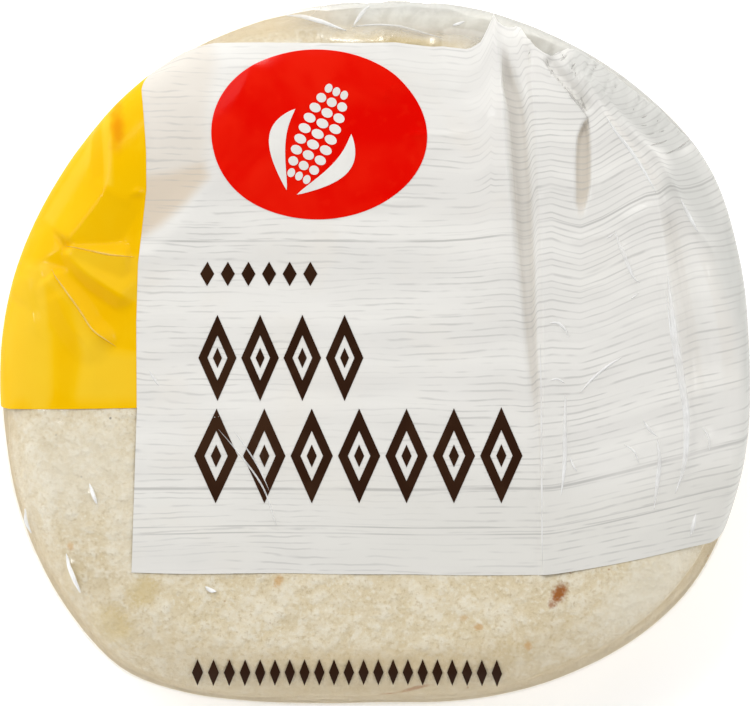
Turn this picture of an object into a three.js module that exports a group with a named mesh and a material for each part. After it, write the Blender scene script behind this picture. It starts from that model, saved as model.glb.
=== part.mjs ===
// A sealed clear bag of thirty corn tortillas, as one closed body in its outer form.
// The pack lies on its back: +Z is its printed front, +Y is the end where the film is gathered.
// Units are millimetres, and the origin is under the middle of the pack, on the surface it lies on.
import * as THREE from "three";

// The stack and the film round it.
const TORTILLA_COUNT = 30;
const TORTILLA_PITCH = 1.5;
const FILM_SLACK = 2;
const BAG_HEIGHT = TORTILLA_COUNT * TORTILLA_PITCH + FILM_SLACK;
const WIDEST_HEIGHT = 0.46 * BAG_HEIGHT;

// How far the pack reaches from its middle: direction in degrees from +X towards +Y, reach.
const OUTLINE = [
  [0, 79.8],
  [15, 80.3],
  [30, 81.6],
  [45, 79.8],
  [60, 77.9],
  [75, 76.6],
  [90, 75.4],
  [105, 75.6],
  [120, 76.5],
  [150, 77.4],
  [170, 79.3],
  [190, 81.3],
  [205, 83.9],
  [220, 86.2],
  [231, 87.0],
  [240, 83.8],
  [250, 79.4],
  [260, 76.3],
  [270, 75.1],
  [280, 76.0],
  [300, 80.1],
  [315, 83.2],
  [325, 84.2],
  [340, 82.5],
];

// Roundness of the section: the higher the power, the flatter the face and the tighter its edge.
const FRONT_POWER = 6;
const BACK_POWER = 7;
const BACK_FLATTENING = 1.03;

// Folds of the film on the front: the points that each follows, its height and its half width.
// They fan out from the gathered end and cross the right half of the pack.
const FOLDS = [
  { path: [[22, 82], [24, 71], [27, 58], [28, 50], [30, 30], [31, 12]], height: 1.6, width: 4 },
  { path: [[30, 84], [33, 62], [34, 40], [35, 0], [35, -47]], height: 1.4, width: 4 },
  { path: [[38, 78], [45, 56], [59, 34], [61, 20], [65, -10], [65, -30]], height: 2, width: 4.5 },
  { path: [[42, 76], [50, 58], [59, 42], [69, 25], [80, 12]], height: 1.4, width: 4 },
  { path: [[-55, 65], [-56, 36], [-65, 22]], height: 0.9, width: 4 },
  { path: [[-65, 22], [-51, 20], [-50, 8]], height: 0.8, width: 4 },
];
const VALLEYS = [
  { path: [[28, 80], [30.5, 60], [31.5, 42], [32, 24]], height: -1.5, width: 3.5 },
  { path: [[36, 80], [42, 62], [44, 46], [44, 29]], height: -2.0, width: 4 },
];
const FOLD_FADE = 9;

// Pleats on the side of the gathered end, as wide as they are apart, and their middle direction.
const PLEAT_DIRECTION = 64;
const PLEAT_SPREAD = 52;
const PLEAT_STEP = 7.5;
const PLEAT_DEPTH = 2.2;
const PLEAT_RISE = 0.3;

// Soft unevenness of the front, and of the stack's edges round the side.
const FRONT_WAVES = [
  { across: 0.061, along: 0.034, phase: 0.4, height: 0.35 },
  { across: -0.038, along: 0.072, phase: 2.1, height: 0.3 },
  { across: 0.019, along: -0.047, phase: 4.0, height: 0.45 },
];
const SIDE_WAVES = [
  { turns: 3, rise: 0.11, phase: 0.9, depth: 0.2 },
  { turns: 5, rise: -0.17, phase: 2.6, depth: 0.15 },
  { turns: 8, rise: 0.31, phase: 5.1, depth: 0.1 },
];

// Gathers pressed into the back, under the gathered end.
const TAIL_DIRECTION = 66;
const TAIL_SPREAD = 30;
const TAIL_GROOVES = 4;
const TAIL_DEPTH = 1.1;
const TAIL_START = 0.3;
const TAIL_FULL = 0.55;

// Fineness of the mesh, and the shares of the reach where the front and the flat back end.
const FRONT_CELLS = 36;
const COLUMNS = 4 * FRONT_CELLS;
const FRONT_SHARE = 0.9;
const SHOULDER_SHARES = [0.94, 0.968, 0.988];
const SIDE_HEIGHTS = [0.74, 0.6, WIDEST_HEIGHT / BAG_HEIGHT, 0.33, 0.2];
const BELLY_SHARES = [0.985, 0.955, 0.9, 0.84];
const BACK_SHARES = [0.78, 0.62, 0.45, 0.25];

const radians = THREE.MathUtils.degToRad;
const smooth = (x, low, high) => THREE.MathUtils.smoothstep(x, low, high);

// The difference between two directions in degrees, from -180 to 180.
function turnBetween(a, b) {
  return THREE.MathUtils.euclideanModulo(a - b + 180, 360) - 180;
}

// The reach of the pack in a direction, on a smooth curve through the points of OUTLINE.
function reachAt(direction) {
  const angle = THREE.MathUtils.euclideanModulo(direction, 360);
  const count = OUTLINE.length;
  let here = count - 1;
  while (OUTLINE[here][0] > angle) here -= 1;
  const point = (step) => {
    const index = here + step;
    const lap = Math.floor(index / count);
    const [at, reach] = OUTLINE[index - lap * count];
    return [at + 360 * lap, reach];
  };
  const [a, b, c, d] = [point(-1), point(0), point(1), point(2)];
  const span = c[0] - b[0];
  const t = (angle - b[0]) / span;
  const slopeB = ((c[1] - a[1]) / (c[0] - a[0])) * span;
  const slopeC = ((d[1] - b[1]) / (d[0] - b[0])) * span;
  const ease = t * t * (3 - 2 * t);
  const bend = t * (1 - t) * ((1 - t) * slopeB - t * slopeC);
  return b[1] + ease * (c[1] - b[1]) + bend;
}

// Height of the front face, and of the rounded underside, at a share of the reach.
function frontHeight(share) {
  const fall = Math.pow(1 - Math.pow(share, FRONT_POWER), 1 / FRONT_POWER);
  return WIDEST_HEIGHT + (BAG_HEIGHT - WIDEST_HEIGHT) * fall;
}

function backHeight(share) {
  const fall = Math.pow(1 - Math.pow(share, BACK_POWER), 1 / BACK_POWER);
  return Math.max(0, WIDEST_HEIGHT * (1 - BACK_FLATTENING * fall));
}

// The share of the reach at which the front or the underside has a height.
function shareAtHeight(height) {
  const above = height >= WIDEST_HEIGHT;
  const power = above ? FRONT_POWER : BACK_POWER;
  const fall = above
    ? (height - WIDEST_HEIGHT) / (BAG_HEIGHT - WIDEST_HEIGHT)
    : (WIDEST_HEIGHT - height) / (WIDEST_HEIGHT * BACK_FLATTENING);
  return Math.pow(1 - Math.pow(fall, power), 1 / power);
}

// The lift of one fold at a point of the front: a rounded ridge that fades at its far end.
function foldLift(fold, x, y) {
  const point = new THREE.Vector2(x, y);
  const last = fold.path.length - 1;
  let nearest = Infinity;
  for (let i = 0; i < last; i += 1) {
    const start = new THREE.Vector2(...fold.path[i]);
    const along = new THREE.Vector2(...fold.path[i + 1]).sub(start);
    const length = along.length();
    const t = THREE.MathUtils.clamp(point.clone().sub(start).dot(along) / (length * length), 0, 1);
    nearest = Math.min(nearest, point.distanceTo(start.addScaledVector(along, t)));
  }
  const end = point.distanceTo(new THREE.Vector2(...fold.path[last]));
  return fold.height * Math.exp(-Math.pow(nearest / fold.width, 2)) * smooth(end, 0, FOLD_FADE);
}

function frontRelief(x, y) {
  const waves = FRONT_WAVES.map((w) => w.height * Math.sin(w.across * x + w.along * y + w.phase));
  const folds = [...FOLDS, ...VALLEYS].map((fold) => foldLift(fold, x, y));
  return [...waves, ...folds].reduce((sum, lift) => sum + lift, 0);
}

// How deep the side lies inside the outline: the pleats, and the unevenness of the stack.
// The ridges of the pleats stand out past the outline by PLEAT_RISE of their depth.
function sideDepth(direction, height) {
  const turn = turnBetween(direction, PLEAT_DIRECTION);
  const near = 1 - smooth(Math.abs(turn), 0.35 * PLEAT_SPREAD, PLEAT_SPREAD);
  const pleat = 0.5 - 0.5 * Math.cos((2 * Math.PI * turn) / PLEAT_STEP) - PLEAT_RISE;
  const waves = SIDE_WAVES.map((w) => {
    return w.depth * Math.sin(w.turns * radians(direction) + w.rise * height + w.phase);
  });
  return PLEAT_DEPTH * near * pleat + waves.reduce((sum, depth) => sum + depth, 0);
}

// The grooves that the gathered tail presses into the flat back.
function tailGroove(direction, share) {
  const turn = turnBetween(direction, TAIL_DIRECTION);
  if (Math.abs(turn) >= TAIL_SPREAD) return 0;
  const across = (turn + TAIL_SPREAD) / (2 * TAIL_SPREAD);
  const groove = 0.5 - 0.5 * Math.cos(2 * Math.PI * TAIL_GROOVES * across);
  return TAIL_DEPTH * groove * smooth(share, TAIL_START, TAIL_FULL);
}

// A cell corner of the square front grid, laid onto a disc: its direction and share of the reach.
function discPoint(column, row) {
  const a = (2 * column) / FRONT_CELLS - 1;
  const b = (2 * row) / FRONT_CELLS - 1;
  if (a === 0 && b === 0) return { direction: 0, share: 0 };
  const flat = Math.abs(a) > Math.abs(b);
  const share = Math.max(Math.abs(a), Math.abs(b));
  const eighth = flat ? 45 * (b / a) : 90 - 45 * (a / b);
  return { direction: eighth + ((flat ? a : b) < 0 ? 180 : 0), share };
}

function frontPoint({ direction, share }) {
  const reach = FRONT_SHARE * share;
  const edge = smooth(share, 0.9, 1);
  const radius = reach * reachAt(direction);
  const x = radius * Math.cos(radians(direction));
  const y = radius * Math.sin(radians(direction));
  const inset = 0.35 * edge * sideDepth(direction, BAG_HEIGHT);
  const scale = radius ? (radius - inset) / radius : 1;
  return [x * scale, y * scale, frontHeight(reach) + frontRelief(x, y)];
}

function sidePoint(direction, share, height, depthShare) {
  const radius = share * reachAt(direction) - depthShare * sideDepth(direction, height);
  const x = radius * Math.cos(radians(direction));
  const y = radius * Math.sin(radians(direction));
  const lift = height > WIDEST_HEIGHT ? smooth(height, WIDEST_HEIGHT, BAG_HEIGHT) * frontRelief(x, y) : 0;
  return [x, y, height + lift];
}

// The corners of the front grid's edge in order, anticlockwise from the corner at -X, -Y.
function edgeCorners() {
  const corners = [];
  for (let i = 0; i < FRONT_CELLS; i += 1) corners.push([i, 0]);
  for (let i = 0; i < FRONT_CELLS; i += 1) corners.push([FRONT_CELLS, i]);
  for (let i = 0; i < FRONT_CELLS; i += 1) corners.push([FRONT_CELLS - i, FRONT_CELLS]);
  for (let i = 0; i < FRONT_CELLS; i += 1) corners.push([0, FRONT_CELLS - i]);
  return corners;
}

// The closed body: the front grid, rings down the side and under it, and a fan at the back's middle.
function bagGeometry() {
  const vertices = [];
  const faces = [];
  const cornerIndex = (column, row) => row * (FRONT_CELLS + 1) + column;

  for (let row = 0; row <= FRONT_CELLS; row += 1) {
    for (let column = 0; column <= FRONT_CELLS; column += 1) {
      vertices.push(frontPoint(discPoint(column, row)));
    }
  }
  const half = FRONT_CELLS / 2;
  for (let row = 0; row < FRONT_CELLS; row += 1) {
    for (let column = 0; column < FRONT_CELLS; column += 1) {
      const [a, b] = [cornerIndex(column, row), cornerIndex(column + 1, row)];
      const [c, d] = [cornerIndex(column + 1, row + 1), cornerIndex(column, row + 1)];
      // A cell is split along the diagonal that points away from the middle, which avoids slivers.
      if (column < half === row < half) faces.push([a, b, c], [a, c, d]);
      else faces.push([a, b, d], [b, c, d]);
    }
  }

  const corners = edgeCorners();
  const directions = corners.map(([column, row]) => discPoint(column, row).direction);
  let upper = corners.map(([column, row]) => cornerIndex(column, row));
  const addRing = (pointAt) => {
    const lower = directions.map((direction) => vertices.push(pointAt(direction)) - 1);
    for (let i = 0; i < COLUMNS; i += 1) {
      const next = (i + 1) % COLUMNS;
      faces.push([upper[i], lower[i], lower[next]], [upper[i], lower[next], upper[next]]);
    }
    upper = lower;
  };

  SHOULDER_SHARES.forEach((share) => {
    addRing((direction) => sidePoint(direction, share, frontHeight(share), share));
  });
  SIDE_HEIGHTS.forEach((part) => {
    const height = part * BAG_HEIGHT;
    addRing((direction) => sidePoint(direction, shareAtHeight(height), height, 1));
  });
  BELLY_SHARES.forEach((share) => {
    addRing((direction) => sidePoint(direction, share, backHeight(share), share));
  });
  BACK_SHARES.forEach((share) => {
    addRing((direction) => sidePoint(direction, share, tailGroove(direction, share), 0));
  });
  const middle = vertices.push([0, 0, 0]) - 1;
  upper.forEach((index, i) => faces.push([index, middle, upper[(i + 1) % COLUMNS]]));

  const geometry = new THREE.BufferGeometry();
  geometry.setAttribute("position", new THREE.Float32BufferAttribute(vertices.flat(), 3));
  geometry.setIndex(faces.flat());
  geometry.computeBoundingBox();
  const { min, max } = geometry.boundingBox;
  geometry.translate(-(min.x + max.x) / 2, -(min.y + max.y) / 2, -min.z);
  geometry.computeVertexNormals();
  return geometry;
}

const bag = new THREE.Mesh(
  bagGeometry(),
  new THREE.MeshStandardMaterial({ color: 0xe8e0cc, roughness: 0.35, metalness: 0 }),
);
bag.name = "tortilla_bag";

const pack = new THREE.Group();
pack.add(bag);

export default pack;
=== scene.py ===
"""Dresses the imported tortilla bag: its thirty tortillas, the clear film round them and the print.

Sizes are in millimetres until a mesh is made. The pack lies on its back with its printed front up.
A place on the film is a direction from the middle of the front, in degrees from +X towards +Y, and
a travel: how far it lies from that middle seen from above, and past the edge of the front, the way
along the film down the side to the back.
A place on the print is (across, along), as on the flat film before it went round the tortillas.
"""

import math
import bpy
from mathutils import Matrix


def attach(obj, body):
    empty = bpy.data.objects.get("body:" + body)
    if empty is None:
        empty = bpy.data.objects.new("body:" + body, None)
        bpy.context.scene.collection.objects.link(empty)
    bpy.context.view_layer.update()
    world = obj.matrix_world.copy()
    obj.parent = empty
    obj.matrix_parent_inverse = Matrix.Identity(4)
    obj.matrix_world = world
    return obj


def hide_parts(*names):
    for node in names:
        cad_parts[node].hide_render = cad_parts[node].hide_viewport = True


bl_info = {
    "name": "Tortilla Bag Looks",
    "version": (1, 0, 0),
    "blender": (4, 5, 0),
    "location": "View3D > Sidebar > Tortilla Bag",
    "description": "Makes the tortillas, the clear film and the print of the packed tortilla bag",
    "category": "Object",
}

from functools import partialmethod

import bpy
import numpy as np

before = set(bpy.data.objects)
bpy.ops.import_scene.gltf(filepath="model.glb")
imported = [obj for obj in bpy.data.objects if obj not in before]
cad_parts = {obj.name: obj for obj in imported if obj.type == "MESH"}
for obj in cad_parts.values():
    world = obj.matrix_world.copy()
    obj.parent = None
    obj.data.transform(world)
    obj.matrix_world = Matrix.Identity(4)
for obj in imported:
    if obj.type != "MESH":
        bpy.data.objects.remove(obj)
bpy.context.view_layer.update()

MM = 0.001
BODY = "root"
BAG_NODE = "tortilla_bag"
SEED = 7

# ---------------------------------------------------------------- form of the pack

BAG_HEIGHT = 47.0
WIDEST_HEIGHT = 0.46 * BAG_HEIGHT
FRONT_POWER = 6
BACK_POWER = 7
BACK_FLATTENING = 1.03

# Direction from the middle, and how far the pack reaches there.
OUTLINE = (
    (0, 79.8), (15, 80.3), (30, 81.6), (45, 79.8), (60, 77.9), (75, 76.6),
    (90, 75.4), (105, 75.6), (120, 76.5), (150, 77.4), (170, 79.3), (190, 81.3),
    (205, 83.9), (220, 86.2), (231, 87.0), (240, 83.8), (250, 79.4), (260, 76.3),
    (270, 75.1), (280, 76.0), (300, 80.1), (315, 83.2), (325, 84.2), (340, 82.5),
)

# Where the film turns over the edge, as a share of the reach.
EDGE_SHARE = 0.975

# The gathered end: the middle direction of its pleats, their spread, step and depth.
PLEAT_DIRECTION = 64.0
PLEAT_SPREAD = 52.0
PLEAT_STEP = 7.5
PLEAT_DEPTH = 2.2
PLEAT_RISE = 0.3
FINE_PLEAT_STEP = 2.3
FINE_PLEAT_DEPTH = 0.5

# Gathers pressed into the back.
TAIL_DIRECTION = 66.0
TAIL_SPREAD = 30.0
TAIL_GROOVES = 4
TAIL_DEPTH = 1.1

# Broad unevenness of the front: waves across and along, phase and height.
FRONT_WAVES = ((0.061, 0.034, 0.4, 0.35), (-0.038, 0.072, 2.1, 0.3), (0.019, -0.047, 4.0, 0.45))

# Ridges of the film: points, height, width before and past the crest, length of the fade. Where the
# points run down the pack, before is towards -X and past towards +X.
RIDGES = (
    # The gathered folds that cross the right half of the front.
    (((24.0, 72), (24.9, 67), (25.9, 62), (26.7, 56), (27.2, 48), (27.8, 40), (28.6, 30), (29.2, 20),
      (30.2, 8)), 1.7, 3.6, 0.7, 22),
    (((32.6, 60), (33.6, 50), (34.3, 41), (34.8, 32), (35.2, 24), (35.5, 15), (35.7, 3), (35.8, -10),
      (35.7, -30), (35.6, -62)), 1.3, 0.45, 5.5, 24),
    (((42.8, 57.3), (45.5, 53.9), (48.1, 50), (50.7, 46.4), (53.4, 43.2), (56.6, 38.5), (59.0, 33.6),
      (60.0, 29.3), (60.9, 23.8), (62.2, 13.3), (63.5, 3.1), (65, -6.5), (66, -15.5), (65.4, -25.7),
      (63.7, -31)), 1.8, 6.5, 0.9, 14),
    (((54.9, 31.9), (56.6, 27.2), (58.3, 20.8), (59.6, 16.5), (60.8, 11)), 0.7, 2.5, 1.5, 8),
    (((42.8, 57.3), (46, 55.3), (50.7, 50), (54.5, 45.8), (58.8, 42.1), (62, 36.8), (65.2, 30.4),
      (67.7, 25.7), (70.5, 22.3), (72.4, 19.3)), 1.6, 1.3, 3.6, 8),
    # Creases on the left.
    (((-69.2, 18.7), (-62.8, 9.5), (-59, 4.2), (-54.9, 1.6)), 0.5, 0.8, 0.8, 3),
    (((-70.9, 19.3), (-69.6, 9.1)), 0.45, 1.8, 1.8, 6),
    (((-68.2, 13.3), (-65, 5.9), (-60.7, 0.5), (-59, -10.1)), 0.5, 2.4, 2.4, 6),
    (((-74.1, 17.2), (-72.8, 6.9), (-70.3, 1.6)), 0.4, 1.4, 1.6, 6),
    # Fine creases of the stretched film over the middle and the top.
    (((-35.7, -12.7), (-30, -16), (-23, -25)), 0.3, 0.7, 0.6, 5),
    (((-31.7, -10.6), (-27.8, -15), (-23, -25)), 0.25, 0.6, 0.5, 5),
    (((-22.7, -31.5), (-20.7, -37.9)), 0.35, 0.7, 0.6, 3),
    (((-17, 72), (-6.3, 69.5)), 0.4, 1.2, 0.8, 4),
    (((-6.3, 69.5), (-1.6, 75.4)), 0.5, 0.9, 0.7, 2),
    (((2, 66), (6, 71), (8, 75)), 0.4, 1.2, 0.9, 4),
    (((14, 70), (20, 68.5), (23, 71)), 0.5, 1.0, 0.7, 3),
    # Short bright creases on the right.
    (((52.4, 24), (53.6, 19.3), (54.9, 15.5), (56.6, 13.3)), 0.45, 0.7, 0.5, 3),
    (((59.2, 17.6), (60.1, 11.2), (61.3, 4.8)), 0.4, 0.6, 0.5, 4),
    (((37.9, 6.7), (40, 5.6), (41.5, 3.5)), 0.3, 0.6, 0.5, 2),
    (((37.9, -5), (40.6, -6.7)), 0.3, 0.6, 0.5, 2),
    (((40.2, -12.9), (40.4, -22), (40.4, -30)), 0.35, 0.6, 0.5, 4),
    (((41.5, -22.7), (42.8, -25)), 0.3, 0.5, 0.5, 1),
    (((43.2, -8.2), (48.1, -4.2), (51.7, 0.1)), 0.3, 0.7, 0.6, 4),
    (((54.1, -19.7), (55.4, -21.2), (56.2, -23.6)), 0.35, 0.6, 0.5, 2),
    (((57.1, -14.2), (59, -17.4)), 0.4, 0.6, 0.5, 2),
    (((60.3, -14.8), (59.8, -25), (59.4, -33)), 0.35, 0.6, 0.5, 5),
    (((67.9, -34), (67.3, -38.5)), 0.5, 0.6, 0.5, 2),
    (((70.5, -15.7), (71.3, -20.2)), 0.45, 0.6, 0.5, 2),
    # Short bright creases over the bare tortilla.
    (((-60.7, -28.3), (-59.6, -32.6)), 0.55, 0.6, 0.5, 2),
    (((-65.4, -43.2), (-64.2, -47), (-62.8, -50.7)), 0.7, 0.7, 0.6, 3),
    (((-75.6, -33.6), (-74.0, -38.9)), 0.6, 0.6, 0.5, 3),
    (((-36, -50), (-33.5, -52.5)), 0.45, 0.7, 0.6, 2),
)

# Sharp folds between flat facets of the film, each with a plane on both sides: as RIDGES.
FACET_FOLDS = (
    (((-55.6, 60), (-56.4, 50), (-56.6, 36.5), (-61.5, 28.5), (-66.0, 22.9)), 2.0, 5.5, 8.0, 2),
    (((-66.0, 22.9), (-61.8, 22.1), (-56.4, 21.0), (-50.9, 20.6)), 2.0, 8.0, 3.0, 3),
    (((-66.0, 22.9), (-63.9, 19.3), (-59.6, 15.9), (-55.4, 12.9), (-51.5, 10.1)), 1.7, 3.0, 7.0, 4),
    (((-68.8, 18.0), (-66.0, 13.8), (-62.8, 9.1), (-60.3, 5.2), (-57.1, 2.7), (-55.3, 1.4)),
     1.7, 7.0, 3.0, 5),
    (((-55.4, 35.0), (-53.2, 34.0), (-51.1, 34.2), (-49.0, 35.1)), 1.0, 1.5, 4.0, 2),
    (((-78, 12), (-72, 19), (-66.0, 22.9)), 1.0, 6.0, 6.0, 1),
    (((-50.9, 20.6), (-46.2, 22.3), (-36.2, 34.7), (-28.7, 43.6)), 0.7, 9.0, 5.0, 8),
    (((-46.8, 21.2), (-41, 10), (-38, -4)), 0.4, 6.0, 8.0, 10),
    (((-34, 37.4), (-30, 52), (-24, 66)), 0.35, 7.0, 7.0, 6),
)

# Troughs between the folds: points, half widths evenly along them, depth as a share of the film's lift
# there, fade in and out, softness of the wall before it, evenly along it, and of the wall past it.
TROUGHS = (
    (((26.9, 66), (28.1, 58), (29.2, 53.9), (30.0, 49.6), (30.6, 41), (31.2, 32.5), (31.7, 24), (32.3, 15.5),
      (33.1, 2.7), (34.0, -10), (34.5, -20)), (0.5, 1.6, 1.8, 1.75, 1.6, 1.3, 1.0, 0.7, 0.5), 0.82, (9, 14),
     (0.4, 2.2), (2.4, 0.35)),
    (((44.7, 50.0), (44.1, 46.4), (44.05, 41.1), (44.0, 35.7), (43.6, 31.5), (43.6, 28.5)),
     (0.2, 1.25, 1.5, 1.5, 1.2, 0.5), 0.45, (2.5, 5), (0.7, 2.0), (0.5, 1.0)),
    (((61.5, 33), (63.4, 26), (65.4, 16), (67.4, 5), (69, -12)), (1.0, 1.6), 0.45, (7, 14), (1.2, 2.0),
     (2.5, 3.0)),
    (((35.6, 62.6), (37.8, 59.4), (40.3, 56.8), (42.8, 54.2), (45.3, 51.0)), (0.9, 0.8), 0.45, (2, 2),
     (0.35, 0.35), (1.2, 1.0)),
)

# Where the print is tinted: partly the tortilla's colour showing through pressed film, partly painted
# shade in folds and along edges: points, half widths evenly along them, strength, and fade in and out.
SHADED = (
    (((26.9, 66), (28.1, 58), (29.2, 53.9), (30.0, 49.6), (30.7, 41), (31.3, 32.5), (31.8, 24), (32.4, 15.5),
      (33.2, 2.7), (34.2, -10), (34.6, -20)), (0.4, 1.5, 1.75, 1.75, 1.6, 1.3, 1.0, 0.8, 0.6), 0.4, (5, 16)),
    (((44.9, 50.4), (44.1, 46.4), (44.05, 41.1), (44.0, 35.7), (43.6, 31.5), (43.6, 28.0)),
     (0.1, 1.25, 1.5, 1.5, 1.1, 0.3), 1.0, (1.5, 5)),
    (((35.0, -8), (35.1, -25), (35.2, -47)), (0.35, 0.35), 0.25, (6, 0.5)),
    (((60.9, 31), (62.6, 25), (64.2, 16), (66.0, 6), (67.6, -6), (69, -16)), (1.6, 2.2), 0.2, (5, 16)),
    (((68.6, 24), (72.0, 14), (74.5, 2), (75.5, -12)), (1.4, 1.6), 0.18, (6, 12)),
    (((47, 52), (52, 46), (57, 39.6), (61.5, 33)), (0.5, 1.0), 0.15, (3, 4)),
)

# Painted light and shade on flat facets of the print, lighter or darker as they would catch more or
# less light: corners, tone and softness of the edge.
YELLOW_TONES = (
    (((-56.9, 35.1), (-53.9, 34.0), (-49.4, 34.7), (-50.4, 29.3), (-51.0, 21.4), (-56.4, 21.4), (-60.7, 22.1),
      (-66.2, 23.6), (-63.9, 27.2), (-60.7, 30.8), (-58.6, 33.6)), -0.35, 0.5),
    (((-66.2, 22.7), (-60.7, 21.7), (-50.5, 21.0), (-50.5, 10.6), (-55.4, 13.3), (-60.7, 16.5),
      (-65.8, 21.4)), 0.35, 0.5),
    (((-65.8, 21.0), (-60.7, 16.1), (-55.4, 12.9), (-50.5, 10.1), (-50.5, 0.6), (-55.4, 1.6), (-57.5, 2.7),
      (-60.3, 5.2), (-63.2, 9.5), (-66.7, 14.0), (-69.2, 18.0), (-69.2, 20.8)), -0.3, 0.5),
    (((-75.6, 15.5), (-70.3, 17.6), (-66.7, 13.3), (-63.2, 8.6), (-60.3, 4.4), (-56.4, 0.5), (-50.5, 0.0),
      (-50.5, -10.1), (-78, -10.1), (-79.5, 2.7)), 0.55, 2.0),
    (((-73.4, 19.0), (-70.4, 19.0), (-68.2, 6.0), (-70.5, 4.0)), -0.5, 0.8),
    (((-60.2, 45.8), (-57.8, 45.0), (-68.6, 27.4), (-70.6, 28.6)), 0.6, 0.8),
    (((-57.6, 57), (-55.4, 57), (-55.8, 35.5), (-57.4, 35.5)), 0.6, 0.4),
    (((-59.4, 52), (-57.8, 53), (-57.8, 38), (-60.6, 36)), -0.45, 0.6),
    (((-73.9, 19.3), (-69.6, 19.3), (-69.2, 4.8), (-70, -12), (-73.5, -12), (-74.5, 4.8)), 0.6, 1.4),
    (((-69.0, 14), (-65, 10), (-63, 0), (-65, -12), (-68.4, -12), (-68.8, 2)), -0.4, 1.8),
)
WHITE_TONES = (
    (((-53, 36), (-36.2, 38), (-36.2, 49.6), (-34, 62.4), (-36, 70), (-53, 70)), 0.36, 2.2),
    (((-53, 23.5), (-49.4, 25.2), (-45.8, 27.4), (-40.4, 32.3), (-35.7, 37.6), (-37, 40.5), (-44, 38.5),
      (-53, 37.5)), 0.9, 1.4),
    (((39.4, 60.4), (42, 64.8), (50.2, 64), (58, 61), (66, 54), (68, 46.5), (62.6, 41.1), (56.6, 45.3),
      (50.2, 50.7), (45, 55.3)), -0.85, 1.2),
    (((62, 41.5), (67, 42), (70.5, 35), (73, 27), (69.4, 24.5), (65, 31.5), (60.5, 34.5)), -0.8, 1.8),
    (((70.5, 26), (74.1, 29), (90, 24), (90, -8), (78.6, -6), (76.4, 5), (72, 16)), -0.8, 2.6),
)
# Painted shade towards the outline, where the print turns away from the light: shares of the outline
# and tone there. It is painted on the right, where the cosine of the direction goes up through
# EDGE_TONES_SIDE.
EDGE_TONES = ((0, 0), (0.955, 0), (0.985, -0.75), (1.02, -0.9), (1.15, -0.4), (3, -0.3))
EDGE_TONES_SIDE = (0.3, 0.75)

# Puckers of the gathered print beyond the folds: the way they run along, step, rise and half width.
PUCKERS = (
    (((38.7, 62.2), (43.4, 60.2), (48.1, 56.4), (53.4, 52.8), (58.8, 48.6), (64, 43.6), (69, 38)),
     2.7, 0.6, 2.4),
    (((35.0, 61.2), (38.4, 58.0), (41.4, 55.3), (44.2, 52.0)), 1.5, 0.4, 1.1),
    (((27.5, 67.0), (30.4, 66.0), (33.4, 62.6)), 1.7, 0.35, 1.1),
)

# The gathered film stands off the tortillas: how far, from where across, and from where up.
GATHERED_LIFT = 2.1
LIFT_ACROSS = (10.0, 27.0)
LIFT_UP = (-18.0, 34.0)

# Small creases all over, with a share of them near the gathered end.
CREASE_COUNT = 54
CREASE_FIELD = 78.0
CREASE_LENGTH = (5.0, 20.0)
CREASE_HEIGHT = (0.08, 0.3)
CREASE_WIDTH = (0.6, 1.8)

# Flat facets of the crumpled film: their size, how far their corners rise or fall, and their turn.
FACETS = ((15.0, 0.28, 0.3), (7.0, 0.08, 1.1))


def smoothstep(value, low, high):
    t = np.clip((value - low) / (high - low), 0.0, 1.0)
    return t * t * (3 - 2 * t)


def turn_between(a, b):
    """The difference between two directions in degrees, from -180 to 180."""
    return np.mod(a - b + 180.0, 360.0) - 180.0


def placed(direction, far):
    """Where a place lies, seen from above, that is so far out in a direction."""
    angle = np.radians(direction)
    return far * np.cos(angle), far * np.sin(angle)


def direction_of(x, y):
    return np.degrees(np.arctan2(y, x))


def reach(direction):
    """How far the pack reaches in a direction, on a smooth curve through OUTLINE."""
    at = np.array([point[0] for point in OUTLINE], float)
    far = np.tile([point[1] for point in OUTLINE], 3)
    at = np.concatenate([at - 360, at, at + 360])
    angle = np.mod(direction, 360.0)
    here = np.searchsorted(at, angle, side="right") - 1
    span = at[here + 1] - at[here]
    t = (angle - at[here]) / span
    slope = (far[here + 1] - far[here - 1]) / (at[here + 1] - at[here - 1]) * span
    next_slope = (far[here + 2] - far[here]) / (at[here + 2] - at[here]) * span
    ease = t * t * (3 - 2 * t)
    bend = t * (1 - t) * ((1 - t) * slope - t * next_slope)
    return far[here] + ease * (far[here + 1] - far[here]) + bend


def fall_at(share, power):
    return (1 - np.clip(share, 0, 1) ** power) ** (1 / power)


def front_height(share):
    return WIDEST_HEIGHT + (BAG_HEIGHT - WIDEST_HEIGHT) * fall_at(share, FRONT_POWER)


def back_height(share):
    return np.maximum(0, WIDEST_HEIGHT * (1 - BACK_FLATTENING * fall_at(share, BACK_POWER)))


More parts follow.
